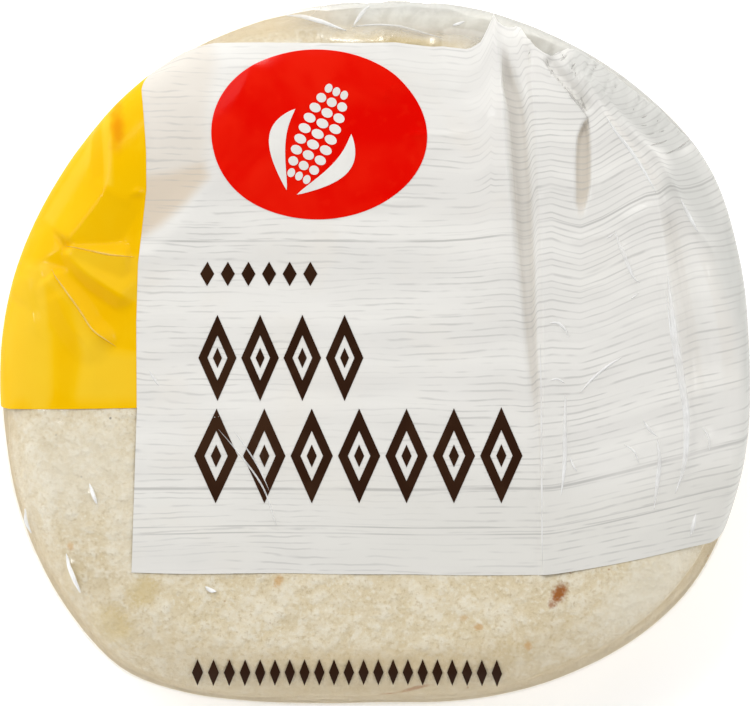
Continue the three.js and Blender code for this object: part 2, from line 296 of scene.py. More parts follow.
class Section:
    """The pack's section from the middle of its front to the middle of its back, in fine steps."""

    REACHES = np.arange(74.0, 89.0, 0.5)
    FLAT_STEPS = 90
    EDGE_STEPS = 70

    def __init__(self):
        flat = np.linspace(0, 0.9, self.FLAT_STEPS)
        fall = np.linspace(fall_at(0.9, FRONT_POWER), 0, self.EDGE_STEPS)[1:]
        edge = fall_at(fall, FRONT_POWER)
        self.widest = len(flat) + len(edge) - 1
        low_fall = np.linspace(0, 1 / BACK_FLATTENING, self.EDGE_STEPS)[1:]
        low_edge = fall_at(low_fall, BACK_POWER)
        back = np.linspace(low_edge[-1], 0, self.FLAT_STEPS)[1:]
        self.share = np.concatenate([flat, edge, low_edge, back])
        self.height = np.concatenate(
            [front_height(flat), WIDEST_HEIGHT + (BAG_HEIGHT - WIDEST_HEIGHT) * fall,
             WIDEST_HEIGHT * (1 - BACK_FLATTENING * low_fall), 0 * back]
        )
        self.step = np.arange(len(self.share), dtype=float)
        self.travel = np.array([self.length(far) for far in self.REACHES])
        run = np.gradient(self.share) * self.REACHES.mean()
        drop = np.gradient(self.height)
        length = np.hypot(run, drop)
        self.out, self.up = -drop / length, run / length

    def length(self, far):
        across, down = np.diff(self.share) * far, np.diff(self.height)
        on_front = (self.share[1:] <= EDGE_SHARE) & (self.step[1:] < self.widest)
        parts = np.where(on_front, across, np.hypot(across, down))
        return np.concatenate([[0], np.cumsum(parts)])

    def by_reach(self, direction, read):
        """Blends read(row of the travel table, mask) between the two nearest reaches."""
        far = (reach(direction) - self.REACHES[0]) / (self.REACHES[1] - self.REACHES[0])
        row = np.clip(far.astype(int), 0, len(self.REACHES) - 2)
        found = np.empty(len(far))
        for k in np.unique(row):
            mask = row == k
            blend = far[mask] - k
            low, high = read(self.travel[k], mask), read(self.travel[k + 1], mask)
            found[mask] = low * (1 - blend) + high * blend
        return found

    def step_at_travel(self, direction, travel):
        return self.by_reach(direction, lambda row, mask: np.interp(travel[mask], row, self.step))

    def travel_at_step(self, direction, step):
        return self.by_reach(direction, lambda row, mask: np.interp(step[mask], self.step, row))

    def read(self, step, *names):
        return [np.interp(step, self.step, getattr(self, name)) for name in names]

    def step_at_share(self, share):
        return np.interp(share, self.share[: self.widest + 1], self.step[: self.widest + 1])


section = Section()


def smooth_path(points, fine=4):
    """A smooth path through points, with some steps between each two."""
    path = np.array(points, float)
    if len(path) < 3:
        return path
    steps = np.linspace(0, len(path) - 1, fine * (len(path) - 1) + 1)
    slope = np.gradient(path, axis=0)
    base = np.minimum(steps.astype(int), len(path) - 2)
    t = (steps - base)[:, None]
    ease = t * t * (3 - 2 * t)
    bend = t * (1 - t) * ((1 - t) * slope[base] - t * slope[base + 1])
    return path[base] + ease * (path[base + 1] - path[base]) + bend


def near_path(points, x, y):
    """Signed distance to a smooth path, positive to its viewer's right, and the way run along it."""
    path = smooth_path(points)
    best = np.full(len(x), np.inf)
    side = np.ones(len(x))
    run = np.zeros(len(x))
    done = 0.0
    for (ax, ay), (bx, by) in zip(path[:-1], path[1:]):
        dx, dy = bx - ax, by - ay
        length = math.hypot(dx, dy)
        t = np.clip(((x - ax) * dx + (y - ay) * dy) / length**2, 0, 1)
        gap = np.hypot(x - ax - t * dx, y - ay - t * dy)
        closer = gap < best
        best = np.where(closer, gap, best)
        side = np.where(closer, np.sign(dx * (y - ay) - dy * (x - ax)), side)
        run = np.where(closer, done + t * length, run)
        done += length
    return best * np.where(side == 0, 1, side), run, done


def ridge(x, y, points, height, before, past, fade, flat=False):
    """A crest that falls away by its own width on each side, rounded or in flat planes."""
    crest = 0.08 if flat else 0.22
    reach_out = (1 if flat else 5) * max(before, past)
    lift = np.zeros(len(x))
    low, high = np.min(points, axis=0) - reach_out, np.max(points, axis=0) + reach_out
    near = (x > low[0]) & (x < high[0]) & (y > low[1]) & (y < high[1])
    if near.any():
        gap, run, total = near_path(points, x[near], y[near])
        width = np.where(gap < 0, before, past)
        away = (np.sqrt(gap**2 + crest**2) - crest) / width
        shape = np.maximum(1 - away, 0) if flat else np.exp(-away)
        ends = smoothstep(total - run, 0, fade) * (smoothstep(run, 0, 2) if total < 30 else 1)
        lift[near] = height * shape * ends
    return lift


def spread(values, share):
    """Values given evenly along a path, read at a share of its length."""
    return np.interp(share, np.linspace(0, 1, len(values)), values)


def faded(run, total, fades):
    """1 along a path, and less towards its ends over the fades in and out."""
    return smoothstep(run, 0, fades[0]) * smoothstep(total - run, 0, fades[1])


def trough(x, y, points, halves, depth, fades, soft_before, soft_past):
    """How far a channel takes the lift away."""
    gap, run, total = near_path(points, x, y)
    half, before, past = (spread(values, run / total) for values in (halves, soft_before, soft_past))
    walls = smoothstep((gap + half) / before, -0.5, 0.5) * (1 - smoothstep((gap - half) / past, -0.5, 0.5))
    return depth * walls * faded(run, total, fades)


def troughs(x, y):
    """The share of the lift that the troughs take away."""
    return np.max([trough(x, y, *item) for item in TROUGHS], axis=0)


def pucker(x, y, points, step, rise, half):
    """Small folds side by side across a path, with sharp valleys between them."""
    gap, run, total = near_path(points, x, y)
    wave = np.abs(np.sin(math.pi * (run + 0.35 * gap + 0.25 * step * np.sin(run)) / step)) ** 0.6
    return rise * wave * faded(run, total, (2, 0.5 * total)) * np.exp(-((gap / half) ** 4))


def shaded(x, y):
    """How strongly the print is tinted: by the tortilla showing through where it is pressed down, and by
    painted shade.
    """
    tone = np.zeros(len(x))
    for points, halves, strength, fades in SHADED:
        gap, run, total = near_path(points, x, y)
        inside = 1 - smoothstep(np.abs(gap) / spread(halves, run / total), 0.8, 1.2)
        tone = np.maximum(tone, strength * inside * faded(run, total, fades))
    return tone


def polygon_depth(corners, x, y):
    """How far places lie inside a closed polygon, below 0 outside it."""
    ax, ay = np.array(corners, float).T
    inside = np.zeros(len(x), bool)
    gap = np.full(len(x), np.inf)
    for x0, y0, x1, y1 in zip(ax, ay, np.roll(ax, -1), np.roll(ay, -1)):
        if y0 != y1:
            inside ^= ((y0 > y) != (y1 > y)) & (x < (x1 - x0) * (y - y0) / (y1 - y0) + x0)
        length = (x1 - x0) ** 2 + (y1 - y0) ** 2 + 1e-9
        t = np.clip(((x - x0) * (x1 - x0) + (y - y0) * (y1 - y0)) / length, 0, 1)
        gap = np.minimum(gap, np.hypot(x - x0 - t * (x1 - x0), y - y0 - t * (y1 - y0)))
    return np.where(inside, gap, -gap)


def painted_facet_light(tones, x, y):
    """How much painted light and shade lighten or darken the facets, from -1 to 1."""
    tone = np.zeros(len(x))
    for corners, strength, soft in tones:
        inside = smoothstep(polygon_depth(corners, x, y), -soft, soft)
        tone = tone * (1 - inside) + strength * inside
    return tone


def gathered_lift(x, y):
    up = x * math.cos(math.radians(PLEAT_DIRECTION)) + y * math.sin(math.radians(PLEAT_DIRECTION))
    return GATHERED_LIFT * smoothstep(x, *LIFT_ACROSS) * smoothstep(up, *LIFT_UP)


def chance_grid(a, b, size, seed):
    """A grid of values by chance: each place's cell, where it lies in it, and the cell's corners."""
    corners = np.random.default_rng(seed).uniform(-size, size, (64, 64))
    i, j = np.floor(a).astype(int), np.floor(b).astype(int)

    def at(di, dj):
        return corners[np.mod(i + di, 64), np.mod(j + dj, 64)]

    return i + j, a - i, b - j, at(0, 0), at(1, 0), at(0, 1), at(1, 1)


def facets(x, y, size, lift, turn, seed):
    """Flat triangles between the corners of a bent grid, each corner lifted by chance."""
    a = (x * math.cos(turn) - y * math.sin(turn)) / size + 0.35 * np.sin(y / (1.3 * size))
    b = (x * math.sin(turn) + y * math.cos(turn)) / size + 0.35 * np.sin(x / (1.7 * size))
    cell, s, t, h00, h10, h01, h11 = chance_grid(a, b, lift, seed)
    right = h00 + s * (h10 - h00) + t * (h11 - h10)
    left = h00 + t * (h01 - h00) + s * (h11 - h01)
    low = h00 + s * (h10 - h00) + t * (h01 - h00)
    high = h11 + (1 - s) * (h01 - h11) + (1 - t) * (h10 - h11)
    return np.where(np.mod(cell, 2) == 0, np.where(s > t, right, left), np.where(s + t < 1, low, high))


def soft_noise(x, y, size, seed):
    """Smooth unevenness from -1 to 1 with bumps of one size."""
    _, s, t, h00, h10, h01, h11 = chance_grid(x / size, y / size, 1, seed)
    s, t = smoothstep(s, 0, 1), smoothstep(t, 0, 1)
    return (h00 * (1 - s) + h10 * s) * (1 - t) + (h01 * (1 - s) + h11 * s) * t


def small_creases():
    """Seeded short creases: their points, height and widths."""
    draw = np.random.default_rng(SEED)
    made = []
    for k in range(CREASE_COUNT):
        gathered = k % 3 == 0
        direction = draw.uniform(-10, 100) if gathered else draw.uniform(0, 360)
        out = draw.uniform(0.55, 1.0) if gathered else math.sqrt(draw.uniform(0.05, 1.0))
        x, y = placed(direction, out * CREASE_FIELD)
        lean = direction + draw.normal(0, 22) if gathered else draw.uniform(0, 180)
        half = draw.uniform(*CREASE_LENGTH) / 2
        dx, dy = placed(lean, half)
        bow = draw.normal(0, 0.08)
        path = ((x - dx, y - dy), (x - bow * dy, y + bow * dx), (x + dx, y + dy))
        width = draw.uniform(*CREASE_WIDTH)
        made.append((path, draw.uniform(*CREASE_HEIGHT), width, 0.7 * width, half))
    return made


def broad_waves(x, y):
    return sum(h * np.sin(a * x + b * y + phase) for a, b, phase, h in FRONT_WAVES)


# The widest line of the pack lies this far past the edge of its front. The film is taut there, and so
# far on either side of it.
WIDEST_PAST = 18.0
TAUT_WIDTH = 7.0
# How far past the edge the folds of the front run out.
FOLDS_PAST = 13.0
RIPPLE_HEIGHT = 0.12
BULGE_SIZE = 11.0
BULGE_HEIGHT = 0.2
GATHER_DEPTH = 0.35


def film_relief(direction, travel, share, front_side):
    """The lift of the film off its plain form: folds on the front, pleats, and gathers on the back."""
    x, y = placed(direction, travel)
    past_edge = travel - EDGE_SHARE * reach(direction)
    on_front = 1 - smoothstep(past_edge, 0, FOLDS_PAST)
    lift = gathered_lift(x, y)
    for item in (*RIDGES, *small_creases()):
        lift += ridge(x, y, *item)
    lift += np.max([ridge(x, y, *item, flat=True) for item in FACET_FOLDS], axis=0)
    lift *= 1 - troughs(x, y)
    lift += broad_waves(x, y)
    for number, (size, rise, turn) in enumerate(FACETS):
        lift += facets(x, y, size, rise, turn, SEED + number)
    lift *= on_front

    turn = turn_between(direction, PLEAT_DIRECTION)
    near = 1 - smoothstep(np.abs(turn), 0.35 * PLEAT_SPREAD, PLEAT_SPREAD)
    bent = turn + 0.8 * np.sin(np.radians(9 * turn)) + 0.05 * past_edge * np.sin(np.radians(3 * turn))
    pleat = np.abs(np.sin(math.pi * bent / PLEAT_STEP)) ** 1.3 - PLEAT_RISE
    uneven = 0.8 + 0.35 * np.sin(np.radians(13 * turn) + 0.7)
    starts = smoothstep(past_edge, -9, 3) * (0.35 + 0.65 * smoothstep(past_edge, 0, 9))
    side_end = np.where(front_side, 1.0, smoothstep(share, 0.6, 0.95))
    taut = np.exp(-(((past_edge - WIDEST_PAST) / TAUT_WIDTH) ** 2))
    side_end *= 1 - 0.96 * taut
    below = 0.35 + 0.65 * smoothstep(past_edge, 18, 34)
    lift -= PLEAT_DEPTH * near * uneven * pleat * starts * side_end * below

    ripple = np.sin(np.radians(37 * direction) + 2 * np.sin(np.radians(5 * direction)))
    lift += RIPPLE_HEIGHT * (1 + ripple) * smoothstep(past_edge, 0, 12) * side_end
    bulge = facets(direction * 1.4, past_edge, BULGE_SIZE, BULGE_HEIGHT, 0.5, SEED + 5) + BULGE_HEIGHT
    lift += bulge * smoothstep(past_edge, 2, 14) * side_end * (1 - 0.7 * near)
    bent = turn + 0.6 * np.sin(np.radians(7 * turn)) + 0.02 * past_edge * np.sin(np.radians(5 * turn))
    narrow = 1 - np.abs(np.sin(math.pi * bent / FINE_PLEAT_STEP)) ** 0.8
    calm = (1 - 0.7 * taut) * np.where(front_side, 0.7, smoothstep(share, 0.6, 0.95))
    lift -= FINE_PLEAT_DEPTH * near * narrow * smoothstep(past_edge, 1, 9) * calm

    tail = turn_between(direction, TAIL_DIRECTION)
    fan = 0.5 - 0.5 * np.cos(math.pi * TAIL_GROOVES * (tail + TAIL_SPREAD) / TAIL_SPREAD)
    groove = TAIL_DEPTH * fan * (np.abs(tail) < TAIL_SPREAD) * smoothstep(share, 0.3, 0.55)
    gathers = GATHER_DEPTH * (0.5 + 0.5 * np.sin(np.radians(31 * direction))) * smoothstep(share, 0.45, 0.75)
    on_back = lift * smoothstep(share, 0.78, 0.97) - (groove + gathers) * (share < 0.93)
    return np.where(front_side, lift, on_back)


def film_points(direction, travel=None, step=None, lift=0.0):
    """Places on the film as points in millimetres, lifted off it along its plain form's normal."""
    if step is None:
        step = section.step_at_travel(direction, travel)
    else:
        travel = section.travel_at_step(direction, step)
    share, height, out, up = section.read(step, "share", "height", "out", "up")
    rise = film_relief(direction, travel, share, step <= section.widest)
    room = (1.0 - share) * reach(direction) + 0.05
    shift = out * rise
    shift = np.where(shift > 0, room * np.tanh(shift / room), shift)
    radius = share * reach(direction) + shift + out * lift
    return np.stack([*placed(direction, radius), height + up * (rise + lift)], axis=-1) - MIDDLE


def outline_middle():
    direction = np.arange(0, 360, 1.0)
    x, y = placed(direction, reach(direction))
    return np.array([(x.min() + x.max()) / 2, (y.min() + y.max()) / 2, 0.0])


MIDDLE = outline_middle()

# ---------------------------------------------------------------- meshes

SHARP_ANGLE = math.radians(62)


def mark(piece, name, values):
    """Keeps a value of each point for the materials."""
    piece.data.attributes.new(name, "FLOAT", "POINT").data.foreach_set("value", values)


def link(name, data):
    made = bpy.data.objects.new(name, data)
    bpy.context.scene.collection.objects.link(made)
    return made


def make_object(name, points, faces, material, uv=None):
    """A smooth mesh object from points in millimetres, with its square edges kept sharp."""
    mesh = bpy.data.meshes.new(name)
    mesh.from_pydata((np.asarray(points) * MM).tolist(), [], [tuple(face) for face in faces])
    mesh.validate()
    mesh.polygons.foreach_set("use_smooth", np.ones(len(mesh.polygons), bool))
    mesh.set_sharp_from_angle(angle=SHARP_ANGLE)
    if uv is not None:
        corners = np.empty(len(mesh.loops), np.int32)
        mesh.loops.foreach_get("vertex_index", corners)
        layer = mesh.uv_layers.new(name="print")
        layer.data.foreach_set("uv", np.asarray(uv, np.float32)[corners].ravel())
    mesh.materials.append(material)
    return link(name, mesh)


def disc_grid(cells):
    """A square grid laid onto a disc: directions, shares, faces, and the corners round its edge."""
    steps = np.arange(cells + 1)
    column, row = np.meshgrid(steps, steps)
    a, b = (2 * column / cells - 1).ravel(), (2 * row / cells - 1).ravel()
    flat = np.abs(a) > np.abs(b)
    share = np.maximum(np.abs(a), np.abs(b))
    with np.errstate(divide="ignore", invalid="ignore"):
        eighth = np.where(flat, 45 * b / a, 90 - 45 * a / b)
    direction = np.where(share > 0, eighth + 180 * (np.where(flat, a, b) < 0), 0.0)

    def corner(c, r):
        return r * (cells + 1) + c

    faces = [
        (corner(c, r), corner(c + 1, r), corner(c + 1, r + 1), corner(c, r + 1))
        for r in range(cells)
        for c in range(cells)
    ]
    edge = [corner(i, 0) for i in range(cells)]
    edge += [corner(cells, i) for i in range(cells)]
    edge += [corner(cells - i, cells) for i in range(cells)]
    edge += [corner(0, cells - i) for i in range(cells)]
    return direction, share, faces, edge


def ring_faces(upper, lower):
    """Quads between two rings of vertices, facing out when the lower ring is below."""
    count = len(upper)
    return [
        (upper[i], lower[i], lower[(i + 1) % count], upper[(i + 1) % count]) for i in range(count)
    ]


def fan_faces(tip, ring):
    """Triangles from a tip below a ring of vertices."""
    return [(tip, j, i) for i, j in zip(ring, np.roll(ring, -1))]


def grid_faces(rows, columns, closed=False):
    """Quads over a grid of points, whose last column meets its first where it is closed."""
    at = np.arange(rows * columns).reshape(rows, columns)
    if closed:
        at = np.concatenate([at, at[:, :1]], axis=1)
    return np.stack([at[:-1, :-1], at[:-1, 1:], at[1:, 1:], at[1:, :-1]], axis=-1).reshape(-1, 4)


def slab(flat, low, high, closed=False):
    """A thin closed sheet over a grid of flat places: points as (across, along, lift), and faces."""
    faces = grid_faces(*flat.shape[:2], closed)
    places = flat.reshape(-1, 2)
    count = len(places)
    starts, ends = faces.ravel(), np.roll(faces, -1, axis=1).ravel()
    inner = np.isin(starts * count + ends, ends * count + starts)
    rim, after = starts[~inner], ends[~inner]
    walls = np.stack([rim, rim + count, after + count, after], axis=-1)
    points = np.concatenate(
        [np.column_stack([places, np.full(count, high)]), np.column_stack([places, np.full(count, low)])]
    )
    return points, np.concatenate([faces, faces[:, ::-1] + count, walls])


def join(parts):
    """Joins lists of (points, faces) into one."""
    points, faces, start = [], [], 0
    for some_points, some_faces in parts:
        points.append(some_points)
        faces.append(np.asarray(some_faces) + start)
        start += len(some_points)
    return np.concatenate(points), np.concatenate(faces)


# ---------------------------------------------------------------- print laid on the pack

PANEL_LEFT = -50.8
PANEL_RIGHT = 142.0
PANEL_BOTTOM = -47.4
PANEL_TOP = 66.1
BOTTOM_RISE = 0.75
BOTTOM_RISE_ACROSS = (-18.0, 16.0)
UPPER_SEAM = 24.0
LOWER_SEAM = -28.7
# Seams between the boards, and two thin lines below them: place along, and half width.
SEAMS = ((UPPER_SEAM, 0.34), (LOWER_SEAM, 0.5), (-37.0, 0.24), (-38.5, 0.24))
# The boards' grain: spacing of its lines, and half their width.
FINE_GRAIN = (1.42, 0.30)
STEADY_GRAIN = (1.42, 0.26)
BOLD_GRAIN = (2.9, 0.32)
YELLOW_LEFT = -137.0
YELLOW_BOTTOM = -11.7

# Right of RISE_START the gathers pull the print up, more so near its top.
RISE_START = 35.0
RISE_EASE = 8.0
RISE_LOW = 0.25
RISE_HIGH = 0.38
# The folds' lines over the front: where across each lies, from the top of the pack down.
FOLD_LINES = (
    (34.0, ((68, 29.5), (58, 31.0), (49.6, 32.3), (41, 33.0), (32.5, 33.6), (24, 34.0), (-62, 34.4))),
    (44.0, ((62, 37.0), (57, 41.0), (50, 44.3), (41, 44.6), (27, 43.7), (10, 43.7), (-62, 44.0))),
    (59.2, ((64, 39.5), (57.3, 42.8), (50, 48.1), (43.2, 53.4), (33.6, 59.2), (23.8, 60.9), (3, 63.5),
      (-62, 64))),
    (63.5, ((65, 41.5), (57.3, 45.0), (50, 50.7), (42.1, 58.8), (36.8, 62), (30.4, 65.2), (19.3, 72.4),
      (-62, 74))),
    (78.0, ((66, 43.0), (62, 46.5), (59.3, 49.3), (56.4, 53), (53, 57.2), (51, 60.4), (46.6, 64.8),
      (43, 69.4), (35.6, 75.5), (28, 80), (20, 82.5), (-62, 84))),
)
FOLD_END = 92.0
# The facets between these lines shift the print up, from nothing at its lower part.
ZIGZAG = (
    (8, 0), (14, 0.1), (20.4, 0.5), (26.8, 1.3), (29.3, 1.3), (31.3, 0.5), (33.4, 0.9), (34.1, 4.0),
    (37.4, 4.4), (40, 3.1), (43.8, 1.25), (48.1, 1.6), (53.4, 2.8), (56.6, 3.2), (59.2, 2.7), (61.3, 3.6),
    (63.5, 2.0), (66, 1.5), (69, 1.3), (72, 1.7), (75, 2.9), (78, 4.6), (84, 5.4), (92, 5.6),
)
# Near the panel's top the print also runs up into the first fold, and the zigzag is flatter.
TIP = ((12, 0), (20.4, 1.0), (26.8, 1.9), (29.3, 1.6), (31.3, 0.7), (33.6, 0.5), (36, 0))
TIP_ALONG = (44.0, 62.0)
FLATTER_ALONG = (26.0, 50.0)
ZIGZAG_BLUR = 0.28
# The top strip of the print is squeezed where the panel's own top edge shows.
SQUEEZE = (
    (4, 1), (14, 0.971), (19.7, 0.925), (22.1, 0.94), (23.6, 1), (24.4, 1.045), (25.2, 1.01), (27, 1),
)
# Past OWN_TOP the folds hide the panel's top: where across, and how far up it is seen.
OWN_TOP = 25.0
SEEN_TOP = (
    (25.3, 69.2), (26.8, 68.4), (28.5, 68.8), (30.4, 68.1), (31.9, 65.8), (33.2, 64.3), (35.3, 62.8),
    (36.8, 62.2), (38.1, 62.8), (40.0, 63.6), (42.1, 63.2), (43.8, 62.3), (48.1, 59.3), (52.4, 56.4),
    (56.6, 53.0), (60.0, 51.0), (61.8, 48.6), (64.3, 46.6), (67.3, 44.6), (69.4, 43.0), (72.0, 40.0),
    (74.8, 35.6), (80.0, 28.0),
)
TOP_HELD_FROM = 75.0
# The facets on the left shift the seam between white and yellow: place along it, shift across.
SEAM_BEND = (
    (-47, -1.3), (-12, -0.2), (7, -0.3), (19, 0.1), (27, 1.0), (35, 1.9), (43, 1.9), (57, 1.1), (66, 0.8),
)
SEAM_BEND_REACH = (4.0, 26.0)

PRINT_LOW = 0.02
PRINT_HIGH = 0.07
MARK_LOW = 0.1
MARK_HIGH = 0.16
UV_SPAN = 100.0
# Under a field of print the film itself is pressed down a little, out of the print's way; the yellow
# field counts as this much wider, so that no film stands up between it and the white one.
FILM_UNDER_PRINT = 0.36
FIELD_OVERLAP = 5.0


def table_at(value, table):
    return np.interp(value, [row[0] for row in table], [row[1] for row in table])


def blurred_table(table, blur, fine=0.1):
    """A table in fine steps with its corners rounded."""
    at = np.arange(table[0][0] - 4 * blur, table[-1][0] + 4 * blur, fine)
    reach_out = np.arange(-4 * blur, 4 * blur + fine, fine)
    weight = np.exp(-((reach_out / blur) ** 2) / 2)
    padded = table_at(at[0] + fine * np.arange(-len(weight), len(at) + len(weight)), table)
    smooth = np.convolve(padded, weight / weight.sum(), "same")[len(weight) : len(weight) + len(at)]
    return at, smooth


SMOOTH_ZIGZAG = blurred_table(ZIGZAG, ZIGZAG_BLUR)


def along_folds(across, up):
    """Where a place lies between the folds' lines, as the place across that ZIGZAG is given for."""
    level = np.zeros(len(across))
    here, mark_here = np.zeros(len(across)), 0.0
    ends = [(mark_next, table_at(up, line[::-1])) for mark_next, line in FOLD_LINES]
    for mark_next, line in (*ends, (FOLD_END, np.full(len(across), FOLD_END))):
        line = np.maximum(line, here + 0.4)
        share = (across - here) / (line - here)
        level = np.where(across >= here, mark_here + share * (mark_next - mark_here), level)
        here, mark_here = line, mark_next
    return np.where(across < 0, across, level)


def print_on_front(across, along):
    """Where a place of the flat print lies on the front, seen from above."""
    upper = np.maximum(along - UPPER_SEAM, 0) * table_at(across, SQUEEZE)
    past = np.maximum(across - RISE_START, 0)
    share = np.clip((along - PANEL_BOTTOM) / (UPPER_SEAM - PANEL_BOTTOM), 0, 1)
    pull = RISE_LOW + (RISE_HIGH - RISE_LOW) * share
    up = np.minimum(along, UPPER_SEAM) + upper + pull * past**2 / (past + RISE_EASE)
    zigzag = np.interp(along_folds(across, up), *SMOOTH_ZIGZAG) * smoothstep(along, LOWER_SEAM, UPPER_SEAM)
    zigzag *= 1 - 0.3 * smoothstep(along, *FLATTER_ALONG)
    zigzag += table_at(across, TIP) * smoothstep(along, *TIP_ALONG)
    bend = table_at(along, SEAM_BEND) * (1 - smoothstep(np.abs(across - PANEL_LEFT), *SEAM_BEND_REACH))
    return across + bend, up + zigzag


def panel_top(columns):
    """How far up the panel is seen: to its own top edge, and past OWN_TOP to where the folds hide it."""
    along = np.full(len(columns), PANEL_TOP)
    held = np.minimum(columns, TOP_HELD_FROM)
    for _ in range(30):
        x, y = print_on_front(held, along)
        over = y - table_at(x, SEEN_TOP)
        along = np.where(columns > OWN_TOP, along - 0.4 * over, along)
    return np.minimum(along, PANEL_TOP)


def print_place(across, along):
    """Direction and travel of a place of the print, which runs straight on down the side."""
    x, y = print_on_front(across, along)
    direction, travel = direction_of(x, y), np.hypot(x, y)
    past = travel > EDGE_SHARE * reach(direction)
    inside, outside = np.zeros(len(across)), across.copy()
    for _ in range(24):
        middle = (inside + outside) / 2
        x, y = print_on_front(middle, along)
        over = np.hypot(x, y) > EDGE_SHARE * reach(direction_of(x, y))
        outside = np.where(over, middle, outside)
        inside = np.where(over, inside, middle)
    # At the edge a row keeps its angle to it.
    x, y = print_on_front(inside, along)
    next_x, next_y = print_on_front(inside + 0.1 * np.sign(across), along)
    edge = np.arctan2(y, x)
    row = np.arctan2(next_y - y, next_x - x) - edge
    run = np.abs(across - inside)
    turned = np.degrees(edge + run * np.sin(row) / reach(np.degrees(edge)))
    gone = np.hypot(x, y) + run * np.cos(row)
    return np.where(past, turned, direction), np.where(past, gone, travel)


def lay_print(points):
    """Lays flat print points (across, along, lift) on the film."""
    direction, travel = print_place(points[:, 0], points[:, 1])
    x, y = placed(direction, travel)
    puckered = sum(pucker(x, y, *item) for item in PUCKERS)
    return film_points(direction, travel=travel, lift=points[:, 2] + puckered)


def print_piece(name, points, faces, material, tones=()):
    """A piece of print on the film, with its flat place as UV, and its painted shade in folds and its painted
    light and shade on facets and towards the outline marked.
    """
    piece = make_object(name, lay_print(points), faces, material, uv=points[:, :2] / UV_SPAN)
    direction, travel = print_place(points[:, 0], points[:, 1])
    x, y = placed(direction, travel)
    mark(piece, "fold", shaded(x, y))
    # Painted shade darkens the print towards the outline on the right.
    right = smoothstep(np.cos(np.radians(direction)), *EDGE_TONES_SIDE)
    tone = painted_facet_light(tones, x, y) + right * table_at(travel / reach(direction), EDGE_TONES)
    mark(piece, "tone", np.clip(tone, -1, 1))
    return piece


def sheet_rows(columns, low, high, stops):
    """Flat places of a field over columns across, from low to high in rows spaced as graded stops."""
    share = graded(stops)[:, None]
    share = (share - share[0]) / (share[-1] - share[0])
    along = low[None, :] * (1 - share) + high[None, :] * share
    return np.stack([np.broadcast_to(columns, along.shape), along], axis=-1)


def graded(stops):
    """Places from the first stop to the last, at each stop's own spacing from it on."""
    parts = [np.arange(at, after, step) for (at, step), (after, _) in zip(stops[:-1], stops[1:])]
    return np.append(np.concatenate(parts), stops[-1][0])


def white_field():
    """Columns of the white panel, and its lower and upper end at each."""
    columns = graded(
        ((PANEL_LEFT, 1.0), (22, 0.6), (25, 0.36), (36, 0.5), (41, 0.34), (48, 0.5), (75, 1.5),
         (PANEL_RIGHT, 0))
    )
    wave = 0.25 * np.sin(columns / 17.0) + 0.1 * np.sin(columns / 5.0)
    low = PANEL_BOTTOM + BOTTOM_RISE * (1 - smoothstep(columns, *BOTTOM_RISE_ACROSS)) + wave
    return columns, low, panel_top(columns) + 0.5 * wave


def yellow_field():
    columns = graded(((YELLOW_LEFT, 1.4), (-80, 0.5), (PANEL_LEFT - 0.02, 0)))
    low = np.full(len(columns), YELLOW_BOTTOM) + 0.15 * np.sin(columns / 9.0)
    return columns, low, np.full(len(columns), PANEL_TOP)


def depth_in_field(x, y, field, overlap=0.0):
    """How far a place of the unrolled film lies inside a field of print, or 0 outside it."""
    columns, low, high = field
    columns = np.where(columns == columns[-1], columns + overlap, columns)
    edge_low, edge_high = (print_place(columns, along) for along in (low, high))
    direction = np.concatenate([edge_low[0], edge_high[0][::-1]])
    travel = np.concatenate([edge_low[1], edge_high[1][::-1]])
    return np.maximum(polygon_depth(np.stack(placed(direction, travel), axis=1), x, y), 0)


def under_print(x, y):
    """How far the film is pressed down by the print at a place of the unrolled film."""
    white, yellow = depth_in_field(x, y, white_field()), depth_in_field(x, y, yellow_field(), FIELD_OVERLAP)
    return FILM_UNDER_PRINT * smoothstep(np.maximum(white, yellow), 0.0, 1.0)


# ---------------------------------------------------------------- materials


def add_node(tree, kind, inputs=None, **settings):
    """A shader or geometry node; an input takes a value or another node's output."""
    node = tree.nodes.new(kind)
    for key, value in settings.items():
        setattr(node, key, value)
    for key, value in (inputs or {}).items():
        if isinstance(value, bpy.types.NodeSocket):
            tree.links.new(value, node.inputs[key])
        else:
            node.inputs[key].default_value = value
    return node


def result(tree, kind, inputs=None, output=0, **settings):
    return add_node(tree, kind, inputs, **settings).outputs[output]


